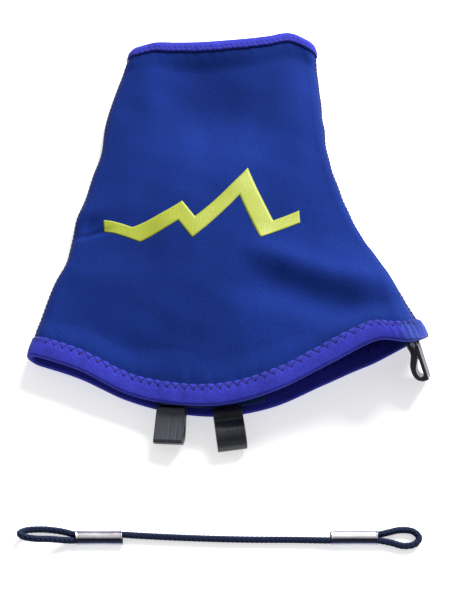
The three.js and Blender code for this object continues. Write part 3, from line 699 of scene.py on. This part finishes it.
def plastic_with_painted_lit_plate():
    """Satin on the arm and rims, and a textured face on the plate's outside whose paler tone is
    painted light, as on a plate lit from above.
    """
    look = Look("hook_plastic", 0.34, 0.5)
    tones = shades((0.0125, 0.0145, 0.020), 0.8, 1.0, 1.35)
    tone = look.three(look.noise(3.5, 4, 0.6), (0.3, 0.55, 0.8), tones)
    # painted light: the plate's outer face gets a paler tone; its streaks and rougher finish
    # are its own
    tones = shades((0.046, 0.052, 0.066), 0.78, 1.0, 1.3)
    streak = look.noise(1.1, 4, 0.7, "UV", (0.16, 1, 1))
    face = look.three(streak, (0.3, 0.55, 0.75), tones)
    run, across = look.split()[:2]
    inside = look.math("MULTIPLY", look.math("GREATER_THAN", run, 0.0036),
                       look.math("LESS_THAN", run, 0.0186))
    level = look.math("ABSOLUTE", across)
    inside = look.math("MULTIPLY", inside, look.math("LESS_THAN", level, 0.0062))
    tone = look.mix(inside, tone, face)
    scuff = look.noise(0.5, 3, 0.7, "UV", (0.12, 1, 1))
    rough = look.three(scuff, (0.35, 0.7), ((0.26,) * 3, (0.46,) * 3))
    rough = look.mix(inside, rough, (0.55, 0.55, 0.55))
    texture = look.math("ADD", look.noise(0.35, 2, 0.6), look.noise(2.2, 2, 0.5))
    return look.finish(tone, look.bump(texture, 0.035), rough)


def cord_braid():
    look = Look("cord_braid", 0.72, 0.15, sheen=0.04, tint=(0.5, 0.6, 0.9))
    left, right = look.wave(1.5, "X", 0, turn=0.75), look.wave(1.5, "X", 0, turn=-0.75)
    strands = look.math("MAXIMUM", left, right)
    tones = shades((0.0036, 0.0088, 0.033), 0.35, 1.0, 1.7)
    tone = look.three(strands, (0.25, 0.7, 1.0), tones)
    tone = look.patchy(0.5, tone, look.noise(1.2, 3), depth=0.12)
    return look.finish(tone, look.bump(strands, 0.10))


def metal_with_painted_reflections():
    """Plating with painted reflections: a dull stripe, a bright painted highlight and a dark
    painted reflection along the tube.
    """
    look = Look("ferrule_metal", 0.16, 0.5, metallic=1.0)
    turn = look.math("MULTIPLY", look.split()[1], 1 / FERRULE_ROUND)
    turn = look.math("ADD", turn, look.math("MULTIPLY", look.noise(4, 2), 0.02))
    # painted reflection: the ramp round the tube paints a lilac stripe, a bright highlight, a
    # dark band and a steel-blue rim
    tone = look.ramp(turn, [(0.10, (0.36, 0.34, 0.44)), (0.175, (0.30, 0.28, 0.36)),
                            (0.205, (0.84, 0.82, 0.84)), (0.285, (0.84, 0.82, 0.84)),
                            (0.315, (0.30, 0.28, 0.34)), (0.34, (0.05, 0.045, 0.08)),
                            (0.42, (0.045, 0.05, 0.10)), (0.46, (0.25, 0.28, 0.40))])
    scratch = look.noise(0.6, 3, 0.7, stretch=(0.06, 1, 1))
    rough = look.three(scratch, (0.35, 0.75), ((0.24,) * 3, (0.34,) * 3))
    return look.finish(tone, look.bump(scratch, 0.0015), rough)


def print_film():
    look = Look("print_film", 0.5, 0.35)
    tones = shades((0.285, 0.330, 0.024), 0.93, 1.0, 1.06)
    tone = look.three(look.noise(1.4, 3), (0.3, 0.5, 0.7), tones)
    grain = look.math("MULTIPLY", look.wave(0.75, "X", 0.3), look.wave(0.62, "Y", 0.3))
    return look.finish(tone, look.bump(look.math("ADD", grain, look.noise(0.6)), 0.03))


OUTSIDE, INSIDE = softshell_outside(), softshell_inside()
HOOK_LOOK_PAINTED_LIGHT, TAPE_LOOK = plastic_with_painted_lit_plate(), woven_tape("tape_navy", (0.012, 0.022, 0.10))
PATCH_LOOK = woven_tape("patch_navy", (0.016, 0.050, 0.19))
SEAM_LOOK = thread_look("seam_thread", (0.020, 0.022, 0.11))
BAND_COLOUR = (0.026, 0.030, 0.315)
ZIGZAG_LOOK = thread_look("zigzag_thread", (0.014, 0.011, 0.17))
PALE_LOOK = thread_look("pale_thread", (0.36, 0.37, 0.42))

# -------------------------------------------------------------------------- cord


def route_curve(knots, steps):
    """Centripetal spline through the knots, as in the CAD source."""
    p = np.asarray(knots, float)
    p = np.concatenate([[2 * p[0] - p[1]], p, [2 * p[-1] - p[-2]]])
    out = []
    for a, b, c, d in zip(p[:-3], p[1:-2], p[2:-1], p[3:]):
        t0, t1, t2 = (math.sqrt(np.linalg.norm(y - x)) for x, y in ((a, b), (b, c), (c, d)))
        m1 = ((b - a) / t0 - (c - a) / (t0 + t1) + (c - b) / t1) * t1
        m2 = ((c - b) / t1 - (d - b) / (t1 + t2) + (d - c) / t2) * t1
        f = np.linspace(0, 1, steps, endpoint=False)[:, None]
        out.append(b + m1 * f + (-3 * b + 3 * c - 2 * m1 - m2) * f**2
                   + (2 * b - 2 * c + m1 + m2) * f**3)
    return np.concatenate([*out, p[-2:-1]])


def make_cord():
    knots = [(x, CORD_Y + y, CORD / 2 + height) for x, y, height in CORD_ROUTE]
    path = resampled(route_curve(knots, 24), 0.2)
    at = walked(path)
    from_tube = np.min([np.abs(path[:, 0] - x) for x in FERRULES.values()], 0)
    swell = 0.10 * ease(from_tube, FERRULE_LENGTH / 2, FERRULE_LENGTH / 2 + 2)

    def braid(turn, distance):
        left = np.cos(2 * np.pi * (4 * turn + distance / 2.1))
        right = np.cos(2 * np.pi * (4 * turn - distance / 2.1))
        return 0.11 * np.maximum(left, right) + np.interp(distance, at, swell)

    points, faces, uv, flat = tube(path, CORD / 2, 48, braid)
    cord = piece("underfoot_braid", "underfoot_cord", points, faces, [cord_braid()], "cord",
                 uv, flat)
    ferrules = [make_ferrule(name, x) for name, x in FERRULES.items()]


def make_ferrule(name, x):
    """Tube crimped round two strands: rolled lips, a slight waist and flat sides."""
    sides, steps = 72, 60
    turn = 2 * np.pi * np.arange(sides) / sides
    inner = CORD / 2 + FERRULE_PLAY
    along = np.linspace(-1, 1, steps)
    along = np.sign(along) * (1 - (1 - np.abs(along)) ** 1.4)
    lip = 0.14 * np.exp(-((1 - np.abs(along)) / 0.045) ** 2)
    waist = -0.10 * np.exp(-(along / 0.5) ** 2)

    def stadium(radius):
        return STRAND * np.sign(np.cos(turn)) + radius * np.cos(turn), radius * np.sin(turn)

    def rounded(radius):
        c, t = np.cos(turn), np.sin(turn)
        return (STRAND + radius) * c, (radius + 0.08) * t

    rows = []
    for k, a in enumerate(along):
        y, z = rounded(inner + FERRULE_WALL + lip[k] + waist[k])
        rows.append(np.stack([0 * y + a * FERRULE_LENGTH / 2, y, z], 1))
    rounding = [(1.0, 0.26), (1.004, 0.16), (1.0, 0.06)]
    for at, wall in rounding:
        y, z = rounded(inner + wall + 0.12)
        rows.append(np.stack([0 * y + at * FERRULE_LENGTH / 2, y, z], 1))
    for a in along[::-1][::6]:
        y, z = stadium(inner)
        rows.append(np.stack([0 * y + a * FERRULE_LENGTH / 2 * 0.99, y, z], 1))
    for at, wall in rounding[::-1]:
        y, z = rounded(inner + wall + 0.12)
        rows.append(np.stack([0 * y - at * FERRULE_LENGTH / 2, y, z], 1))
    points = np.array(rows)
    # the ends are cut at a slight slant
    slant = -0.16 if name == "left" else 0.05
    points[..., 0] += slant * points[..., 1] * ease(np.abs(points[..., 0]), 4, 9)
    points = points + [x, CORD_Y, CORD / 2 + TUBE]
    points[..., 2] = np.maximum(points[..., 2], 0.002)
    faces, flat = quads(len(rows), sides, True, True)
    u, v = np.linspace(0, 0.042, len(rows) + 1), np.linspace(0, FERRULE_ROUND, sides + 1)
    uv = crossed(u, v)
    return piece(f"ferrule_{name}", f"cord_ferrule_{name}", points, faces, [METAL_LOOK_PAINTED_REFLECTIONS],
                 "cord", uv, flat)


METAL_LOOK_PAINTED_REFLECTIONS = metal_with_painted_reflections()
make_cord()

# ------------------------------------------------------------------------- cloth


def make_panel(side, name, node):
    """One layer of softshell: outer and inner face and the edge between them."""
    columns, rows = 260, 240
    u = np.linspace(0.0004, 0.9996, columns)[:, None]
    start = (BINDING + GAP) / row_length(u)
    v = lerp(start, 1 - start, np.linspace(0, 1, rows)[None, :])
    u = u + 0 * v
    outer, inner = skin(side, u, v, SHELL / 2), skin(side, u, v, -SHELL / 2)
    grid, faces, flat, ends = slab(outer, inner)
    index = np.tile((np.arange(2 * rows) >= rows).astype(int), columns - 1)
    made = piece(name, node, grid, faces, [OUTSIDE, INSIDE], "shell",
                 spread_out(u * PANEL_SPREAD[0], v * PANEL_SPREAD[1]), flat,
                 index.tolist() + [0] * ends)


def zigzag(k, sharpness):
    """At k half turns: way across from 0 to 1 and back, and height of the thread's arch."""
    t = k % 1
    way = np.where(np.floor(k) % 2 < 1, t, 1 - t)
    return way, np.minimum(1, sharpness * np.minimum(t, 1 - t))


def turns_round(edge, stitch):
    """Whole zigzags round an opening, and its length, in millimetres."""
    places = np.linspace(0, 1, 801)
    path = round_tube(places, edge, stitch["from"], 0.0)
    length = walked(path)[-1]
    return int(round(length / stitch["pitch"])), length


def make_binding(edge, width, stitch, name, node, hole, leg_dent_and_shade, scallop):
    """Folded elastic: a soft U section with a scalloped sewn edge on both faces."""
    turns, length = turns_round(edge, stitch)
    rings = turns * 16
    place = np.arange(rings) / rings
    phase = (turns * place) % 1
    swing = np.abs(phase - 0.5) * 2  # 0 at a needle hole in the band, 1 at the cloth's row
    rng = np.random.default_rng(21)
    knots = rng.uniform(-1, 1, 60)
    wander = np.interp(place, np.linspace(0, 1, 61), np.append(knots, knots[:1]))
    bumps = np.repeat(rng.uniform(0.6, 1.3, turns), 16)
    front = (place - 0.5) * length
    near_front = np.exp(-(((front + 13) / 14) ** 2)) if edge == "hem" else 0 * front
    back = np.minimum(place, 1 - place) * length
    near_heel = 2.4 * np.exp(-((back / 9) ** 2)) if edge == "top" else 0 * front
    reach = stitch["to"] - stitch["from"]
    slope = 2 * reach * turns / length
    shares = [0, 0.05, 0.1, 0.15, 0.2, 0.25, 0.3, 0.35, 0.4, 0.48, 0.58, 0.68, 0.78, 0.86,
              0.93, 0.98, 1]
    rows, v_of = [], []

    def leg(sign):
        order = shares if sign > 0 else shares[::-1]
        for share in order:
            a = 1 - share  # 1 at the sewn edge, 0 at the fold
            edge_at = width - (scallop * bumps * swing**2 + 0.15) + 0.15 * wander
            edge_at = edge_at - near_front * (0.9 + 0.5 * np.sin(front / 1.1)) - near_heel
            distance = 0.9 + a * (edge_at - 0.9)
            crown = 0.34 * math.sin(math.pi * min(a, 1)) ** 0.8 - 0.42 * math.exp(
                -((share / 0.05) ** 2))
            line = np.abs(distance - (stitch["from"] + reach * swing)) / math.hypot(1, slope)
            sunk = 0.4 * (1 - leg_dent_and_shade) * np.exp(-((line / 0.32) ** 2))
            sunk = sunk * (distance > stitch["from"] - 0.6)
            hole_at = np.hypot(distance - stitch["from"], swing * length / turns / 2)
            sunk = sunk + 0.30 * np.exp(-((hole_at / (hole * 1.5)) ** 2))
            gather = 0.95 * near_front * np.sin(front / 0.62 + 0.5 * wander) * (0.35 + a)
            roll_of = 0.10 * wander * math.sin(math.pi * a)
            n = BINDING_OUTSIDE + crown - sunk + gather + roll_of
            rows.append(round_tube(place, edge, distance, sign * np.maximum(n, 0.6)))
            v_of.append(0.9 + a * (width - 0.9))

    leg(1)
    for angle in (55, 30, 0, -30, -55):
        t = math.radians(angle)
        rows.append(round_tube(place, edge, 0.9 - 0.95 * math.cos(t) + 0 * place,
                               1.12 * (BINDING_OUTSIDE + 0.1 * near_front) * math.sin(t)))
        v_of.append(0.9 - math.cos(t))
    leg(-1)
    for distance, n in ((width - 1.1, -SHELL / 2 - 0.02), (BINDING, -SHELL / 2 - 0.02),
                        (BINDING, SHELL / 2 + 0.02), (width - 1.1, SHELL / 2 + 0.02)):
        rows.append(round_tube(place, edge, distance + 0 * place, n + 0 * place))
        v_of.append(3.0)
    grid = np.stack(rows, 1)
    faces, flat = quads(rings, grid.shape[1], True, True)
    u = np.append(place, 1) * length * 0.001
    uv = crossed(u, np.array([*v_of, 3.0]) * 0.001)
    look = elastic(f"{name}_elastic", BAND_COLOUR, stitch, turns / length * 1000, hole, leg_dent_and_shade)
    made = piece(name, node, grid, faces, [look], "shell", uv, flat)
    return turns


def make_zigzag(edge, width, stitch, turns, name, node, look):
    """Zigzag thread over a binding's sewn edge, down a needle hole at each turn."""
    steps = 9
    k = np.arange(2 * turns * steps) / steps
    way, arch = zigzag(k, 4)
    a = lerp(stitch["from"], stitch["to"], 1 - way)
    on_band = 1 - ease(a, width - 1.1, width - 0.3)
    surface = lerp(SHELL / 2, BINDING_OUTSIDE, on_band)
    path = round_tube((k / (2 * turns)) % 1, edge, a, surface + 0.10 * arch - 0.32 * (1 - arch))
    points, faces, uv, flat = tube(path, THREAD_RADIUS, 8, closed=True)
    piece(name, node, points, faces, [look], "shell", uv, flat)


def make_seam(u, name, node):
    """Flatlock stitches over the seam along a fold: a tight zigzag with a ladder."""
    start, row = HEM_BAND + SEAM_CLEAR, row_length(np.array(u))
    length = row - start - TOP_BAND - SEAM_CLEAR
    stitches = int(round(length / SEAM_PITCH))
    steps = 8
    k = np.arange(2 * stitches * steps + 1) / steps
    way, arch = zigzag(k, 4)
    out = way * 2 - 1
    v = (start + length * k / (2 * stitches)) / row
    walk = FRONT_WALK if u > 0.5 else HEEL_WALK
    share = FOLD_SHARE * np.abs(out) * SEAM_REACH / walk
    place_u = np.clip(share if u < 0.5 else 1 - share, 0, 1)
    side = np.where(out < 0, -1.0, 1.0)
    path = skin(side, place_u, v, SHELL / 2 + 0.2 * (2 * arch - 1))
    parts = [tube(path, 0.2, 8)]
    for rail in (-SEAM_RAIL, SEAM_RAIL):
        k = np.linspace(0, 1, stitches * steps + 1)
        v = (start + length * k) / row
        rail_u = FOLD_SHARE * abs(rail) / walk + 0 * k
        rail_u = rail_u if u < 0.5 else 1 - rail_u
        height = SHELL / 2 + 0.1 + 0.14 * np.cos(2 * np.pi * stitches * k)
        parts.append(tube(skin(np.sign(rail) + 0 * k, rail_u, v, height), THREAD_RADIUS, 6))
    points, faces, uv, flat = joined(parts)
    piece(name, node, points, faces, [SEAM_LOOK], "shell", uv, flat)


def make_print():
    """Heat transfer film on the cloth: one zigzag ridge line."""
    corners = np.array([(x + PRINT_LEAN * y, y) for x, y in PRINT_RIDGE], float)
    spots = []
    for i, corner in enumerate(corners):
        before, after = corners[max(i - 1, 0)], corners[min(i + 1, len(corners) - 1)]
        incoming, outgoing = unit(corner - before), unit(after - corner)
        way = unit(incoming + outgoing)
        along = incoming if i else outgoing
        half = PRINT_STROKE / 2 / (way @ along)
        offset = np.array([-way[1], way[0]]) * half
        spots.append((corner + offset, corner - offset))
    steps, wide = 24, 9
    rows = []
    for i in range(len(spots) - 1):
        for k in range(1 if i else 0, steps + 1):
            left = lerp(spots[i][0], spots[i + 1][0], k / steps)
            right = lerp(spots[i][1], spots[i + 1][1], k / steps)
            rows.append([lerp(left, right, w) for w in np.linspace(0, 1, wide)])
    flat_points = np.array(rows)
    v = PRINT_CENTRE[1] + flat_points[..., 1] / row_length(np.array(0.5))
    width = np.linalg.norm(heel_edge(v) - front_edge(v), axis=-1)
    u = PRINT_CENTRE[0] + flat_points[..., 0] / width
    low, high = skin(1, u, v, SHELL / 2 - 0.05), skin(1, u, v, SHELL / 2 + 0.13)
    grid = np.concatenate([high, low[:, ::-1]], 1)
    faces, flat = loft(grid)
    spread = np.concatenate([flat_points, flat_points[:, ::-1], flat_points[:, :1]], 1) * 0.001
    piece("ridge_print", "side_print", grid, faces, [print_film()], "shell",
          spread.reshape(-1, 2), flat)


make_panel(-1, "medial_cloth", "medial_panel")
make_panel(1, "lateral_cloth", "lateral_panel")
hem_turns = make_binding("hem", HEM_BAND, HEM_STITCH, "hem_band", "hem_binding",
                         0.34, 0.45, 0.75)
top_turns = make_binding("top", TOP_BAND_SHOWN, TOP_STITCH, "top_band", "top_binding",
                         0.28, 0.85, 0.15)
make_zigzag("hem", HEM_BAND, HEM_STITCH, hem_turns, "hem_zigzag", "hem_binding_thread",
            ZIGZAG_LOOK)
make_zigzag("top", TOP_BAND_SHOWN, TOP_STITCH, top_turns, "top_zigzag", "top_binding_thread",
            thread_look("top_zigzag_thread", (0.022, 0.025, 0.27)))
make_seam(1.0, "front_flatlock", "front_seam_thread")
make_seam(0.0, "heel_flatlock", "heel_seam_thread")
make_print()

# ----------------------------------------------------------------- hook stations


def station_frame(station):
    """Matrix of a station's hinge bar: x out of the hem, y to the foot, z the bar."""
    side, across = np.array(float(station["side"])), np.array(station["across"])
    v = HINGE_INSET / row_length(across)
    normal, way, along = cloth_frame(side, across, v)
    bar = unit(way - normal * (way @ normal))
    out = unit(np.cross(bar, normal))
    if out @ along > 0:
        out = -out
    turn = Matrix.Rotation(math.radians(station["turn"]), 3, Vector(normal))
    out = np.array(turn @ Vector(out))
    inward = -normal
    made = np.eye(4)
    made[:3, 0], made[:3, 1], made[:3, 2] = out, inward, np.cross(out, inward)
    made[:3, 3] = cloth(side, across, v) - normal * HINGE_DEPTH + SHIFT
    return made


def placed(points, matrix):
    """Local points, in millimetres, put in the row frame."""
    p = np.asarray(points, float)
    return p @ matrix[:3, :3].T + matrix[:3, 3]


def spline2(points, steps):
    """Spline through plan points, without the first."""
    p = np.asarray(points, float)
    out = []
    for i in range(len(p) - 1):
        a, b, c, d = p[max(i - 1, 0)], p[i], p[i + 1], p[min(i + 2, len(p) - 1)]
        for f in np.arange(1, steps + 1) / steps:
            m1, m2 = (c - a) / 2, (d - b) / 2
            out.append(b + m1 * f + (3 * (c - b) - 2 * m1 - m2) * f**2
                       + (2 * (b - c) + m1 + m2) * f**3)
    return out


def hook_outline():
    """Side view of a hook: bar, plate, U bend and sprung return arm."""
    half, bar, end = PLATE / 2, BAR / 2, HOOK_LENGTH
    slot = bar + SLOT_LENGTH
    points = [(-bar, -bar * 0.45), (-bar * 0.45, -bar), (slot, -bar), (slot + 0.6, -half)]
    plate = np.linspace(slot + 1.2, end - 0.9, 26)
    points += [(x, -half) for x in plate]
    points += [(end - 0.6, -half), (end - 0.3, -half + 0.12), (end - 0.2, -half + 0.4)]
    points += [(end - 0.2, y) for y in np.linspace(-0.1, half, 4)]
    arm = [(end - 0.2, half), (end - 0.25, 1.9), (end - 1.3, 3.9), (end - 3.2, 5.2),
           (end - 5.6, 5.65), (end - 8.6, 5.4), (end - 11.4, 4.3), (end - 13.4, 3.6),
           (end - 15.2, 3.7), (end - 17, 4.1), (end - 18.6, 3.7), (end - 19.1, 2.9)]
    points += spline2(arm, 7)
    inside = [(end - 19.1, 2.9), (end - 18.7, 2.3), (end - 17.2, 2.1), (end - 15.2, 1.6),
              (end - 13.2, half + 0.4), (end - 11.2, half + 0.45), (end - 9.2, half + 1.4),
              (end - 7, half + 2.4), (end - 4.8, half + 2.8), (end - 3, half + 2.2),
              (end - 2.3, half + 1.1), (end - 2.6, half + 0.3), (end - 3.2, half)]
    points += spline2(inside, 7)
    points += [(x, half) for x in np.linspace(end - 3.8, slot + 1.2, 20)]
    points += [(slot + 0.6, half), (slot, bar), (-bar * 0.45, bar), (-bar, bar * 0.45)]
    return np.array(points, float)


def make_hook(station):
    """A moulded hook with rounded rims and two fine grooves along its plate."""
    outline = hook_outline()
    before, after = np.roll(outline, 1, 0), np.roll(outline, -1, 0)
    along = unit(after - before)
    inward = np.stack([-along[:, 1], along[:, 0]], 1)
    half = HOOK_WIDTH / 2
    rim = [(0, 0.26), (0.04, 0.16), (0.12, 0.06), (0.26, 0.0)]
    near = [(-half + z, d) for z, d in rim]
    middle = [(z, 0.0) for z in np.linspace(-half + 0.6, half - 0.6, 45)]
    layers = near + middle + [(-z, d) for z, d in near[::-1]]
    rows = []
    for z, d in layers:
        ring = outline + inward * d
        groove = 0.16 * math.exp(-((z - 0.2) / 0.22) ** 2)
        groove += 0.13 * math.exp(-((z - 3.5) / 0.20) ** 2)
        on_plate = (outline[:, 1] < -0.7) & (outline[:, 0] > 3.2)
        ring = ring + np.stack([0 * on_plate, on_plate * groove], 1)
        crest = outline[:, 1] > 3.2
        waver = 0.05 * np.sin(outline[:, 0] * 5.2) * (outline[:, 0] < 4.6)
        ring = ring + np.stack([0 * waver, crest * waver], 1)
        rows.append(np.concatenate([ring, np.full((len(ring), 1), z)], 1))
    grid = np.array(rows)
    count = len(outline)
    faces, flat = loft(grid)
    uv = np.stack([np.append(walked(outline), 0.08)[None, :].repeat(len(rows), 0),
                   np.array([z for z, _ in layers])[:, None].repeat(count + 1, 1)], -1)
    local = np.eye(4)
    c, s = math.cos(math.radians(station["droop"])), math.sin(math.radians(station["droop"]))
    local[:2, :2] = [[c, -s], [s, c]]
    matrix = station_frame(station) @ local
    name = station["name"]
    hook = piece(f"{name}_clip", f"{name}_hook", placed(grid.reshape(-1, 3), matrix), faces,
                 [HOOK_LOOK_PAINTED_LIGHT], f"{name}_hook", uv.reshape(-1, 2) * 0.001, flat)
    cutter = slot_cutter(matrix)
    cut = hook.modifiers.new("slot", "BOOLEAN")
    cut.object, cut.operation, cut.solver = cutter, "DIFFERENCE", "EXACT"
    bpy.context.view_layer.update()
    evaluated = hook.evaluated_get(bpy.context.evaluated_depsgraph_get())
    mesh = bpy.data.meshes.new_from_object(evaluated)
    hook.modifiers.clear()
    hook.data = mesh
    mesh.shade_smooth()
    mesh.set_sharp_from_angle(angle=math.radians(38))
    bpy.data.objects.remove(cutter)


def slot_cutter(matrix):
    """Box with rounded corners where the tape passes through a hook's plate."""
    x0, x1, z1, r = BAR / 2, BAR / 2 + SLOT_LENGTH, TAB_WIDTH / 2 + 0.4, 0.4
    plan_points = []
    for cx, cz, a0 in ((x1 - r, z1 - r, 0), (x0 + r, z1 - r, 90),
                       (x0 + r, -z1 + r, 180), (x1 - r, -z1 + r, 270)):
        for a in np.radians(np.linspace(a0, a0 + 90, 6)):
            plan_points.append((cx + r * math.cos(a), cz + r * math.sin(a)))
    n = len(plan_points)
    points = [(x, y, z) for y in (-2, 2) for x, z in plan_points]
    faces = [[k, (k + 1) % n, n + (k + 1) % n, n + k] for k in range(n)]
    faces += [list(range(n))[::-1], list(range(n, 2 * n))]
    mesh = bpy.data.meshes.new("slot")
    mesh.from_pydata((placed(points, matrix) * 0.001).tolist(), [], faces)
    mesh.update()
    if volume(mesh) < 0:
        mesh.flip_normals()
    return linked("slot", mesh)


def ribbon(path, width, thick, matrix):
    """Flat tape with rounded selvedges along a plan path, its width along z."""
    path = np.asarray(path, float)
    ahead = unit(np.gradient(path, axis=0))
    side = np.stack([-ahead[:, 1], ahead[:, 0]], 1)
    half = width / 2
    section = []
    for z in np.linspace(-half, half, 25):
        edge = min(1, math.sqrt(max(0, 1 - max(0, abs(z) - half + 0.35) ** 2 / 0.35**2)))
        plump = 1 + 0.12 * math.exp(-((abs(z) - half + 0.6) / 0.4) ** 2)
        section.append((z, thick / 2 * edge * plump))
    ring = section + [(z, -t) for z, t in section[::-1][1:-1]]
    rows = []
    for p, s in zip(path, side):
        rows.append([(p[0] + s[0] * t, p[1] + s[1] * t, z) for z, t in ring])
    grid = np.array(rows)
    faces, flat = loft(grid)
    at = walked(np.concatenate([path, 0 * path[:, :1]], 1)) * 0.001
    across = np.array([z for z, _ in ring] + [ring[0][0]]) * 0.001
    uv = crossed(at, across)
    return placed(grid.reshape(-1, 3), matrix), faces, uv, flat


def make_tab(station, matrix):
    """Woven tape folded round the hinge bar, both plies up inside the hem."""
    radius = (EYE_INNER + EYE_OUTER) / 2
    low, high = -EYE_OUTER + 0.25, -EYE_OUTER + 0.76
    path = [(x, low) for x in np.linspace(-TAB_REACH, -0.4, 20)]
    for a in np.radians(np.linspace(-84, 196, 30)):
        path.append((radius * math.cos(a), radius * math.sin(a)))
    path += [(x, high) for x in np.linspace(-1.9, -TAB_REACH, 16)]
    path = np.array(path)
    path[50:, 1] = high
    points, faces, uv, flat = ribbon(path, TAB_WIDTH, 0.46, matrix)
    name = station["name"]
    made = piece(f"{name}_tape", f"{name}_hook_tab", points, faces, [TAPE_LOOK], "shell",
                 uv, flat)


def make_patch(station):
    """Woven reinforcement over the tape, inside the hem."""
    side, across = station["side"], station["across"]
    centre = across / 2 if side > 0 else 1 - across / 2
    ends = round_tube(np.array([centre - 0.01, centre + 0.01]), "hem", PATCH_FROM, 0.0)
    reach = station["patch"] / 2 / (np.linalg.norm(ends[1] - ends[0]) / 0.02)
    columns, rows = 90, 30
    place = np.linspace(centre - reach, centre + reach, columns)[:, None]
    start = PATCH_FROM - (2.0 if station["name"] == "medial" else 0)
    a = np.linspace(start, PATCH_TO, rows)[None, :]
    rim = np.minimum(np.minimum(np.arange(rows), np.arange(rows)[::-1])[None, :],
                     np.minimum(np.arange(columns), np.arange(columns)[::-1])[:, None])
    thin = 0.12 * (rim < 1) + 0.05 * (rim == 1)
    near = round_tube(place + 0 * a, "hem", a + 0 * place, -PATCH_DEPTH - thin)
    far = round_tube(place + 0 * a, "hem", a + 0 * place, -PATCH_DEPTH - PATCH + thin)
    grid, faces, flat, _ = slab(near, far)
    uv = spread_out(np.linspace(0, station["patch"], columns)[:, None] * 0.001 + 0 * a,
                    (a + 0 * place) * 0.001)
    name = station["name"]
    made = piece(f"{name}_backing", f"{name}_hook_patch", grid, faces, [PATCH_LOOK], "shell",
                 uv, flat)


def make_bartack(station, matrix):
    """Close zigzag of pale thread that sews tape and patch to the hem."""
    depth = PATCH_DEPTH + PATCH - HINGE_DEPTH + 0.18
    k = np.arange(0, TACK_STITCHES * 6 + 1) / 6
    way, arch = zigzag(k, 3)
    x = TACK_AT + TACK_LENGTH * (way - 0.5)
    z = TACK_WIDTH * (k / TACK_STITCHES - 0.5)
    path = np.stack([x, depth + 0.16 * arch, z], 1)
    points, faces, uv, flat = tube(placed(path, matrix), THREAD_RADIUS, 6)
    name = station["name"]
    piece(f"{name}_tack", f"{name}_hook_bartack", points, faces, [PALE_LOOK], "shell",
          uv, flat)


for station in STATIONS:
    hinge = station_frame(station)
    make_hook(station)
    make_tab(station, hinge)
    make_patch(station)
    make_bartack(station, hinge)

# ------------------------------------------------------------- floor and lights

FLOOR_DROP = 0.0001
floor_mesh = bpy.data.meshes.new("floor")
floor_mesh.from_pydata([(-3, -3, 0), (3, -3, 0), (3, 3, 0), (-3, 3, 0)], [], [(0, 1, 2, 3)])
floor_look = Look("floor", 0.85, 0.1)
floor_look.shader.inputs["Emission Color"].default_value = (1, 1, 1, 1)
floor_look.shader.inputs["Emission Strength"].default_value = 0.56
floor_mesh.materials.append(floor_look.finish((0.8, 0.8, 0.81)))
floor = linked("floor", floor_mesh)
floor.location.z = -FLOOR_DROP


key = bpy.data.lights.new("key", "AREA")
key.shape, key.size, key.energy = "SQUARE", 0.8, 62
softbox = linked("key", key)
softbox.location = (0.62, 1.1, 0.85)
softbox.rotation_mode = "QUATERNION"
aim = Vector((0, -0.03, 0)) - softbox.location
softbox.rotation_quaternion = aim.to_track_quat("-Z", "Y")


def card(name, low, high, half, colour):
    """A card out of the picture that the metal and the plastic reflect."""
    (y0, z0), (y1, z1) = low, high
    mesh = bpy.data.meshes.new(name)
    mesh.from_pydata([(-half, y0, z0), (half, y0, z0), (half, y1, z1), (-half, y1, z1)], [],
                     [(0, 1, 2, 3)])
    mesh.materials.append(Look(name, 0.9, 0.0).finish(colour))
    linked(name, mesh)


card("front_card", (-0.50, 0.62), (-0.10, 1.10), 0.42, (0.010, 0.008, 0.020))
card("back_card", (1.5, 0.0), (1.5, 1.0), 0.9, (0.20, 0.18, 0.26))
world = bpy.data.worlds.new("world")
bpy.context.scene.world = world
world.use_nodes = True
world.node_tree.nodes["Background"].inputs[0].default_value = (1, 1, 1, 1)
world.node_tree.nodes["Background"].inputs[1].default_value = 0.47
bpy.context.scene.view_settings.view_transform = "Standard"
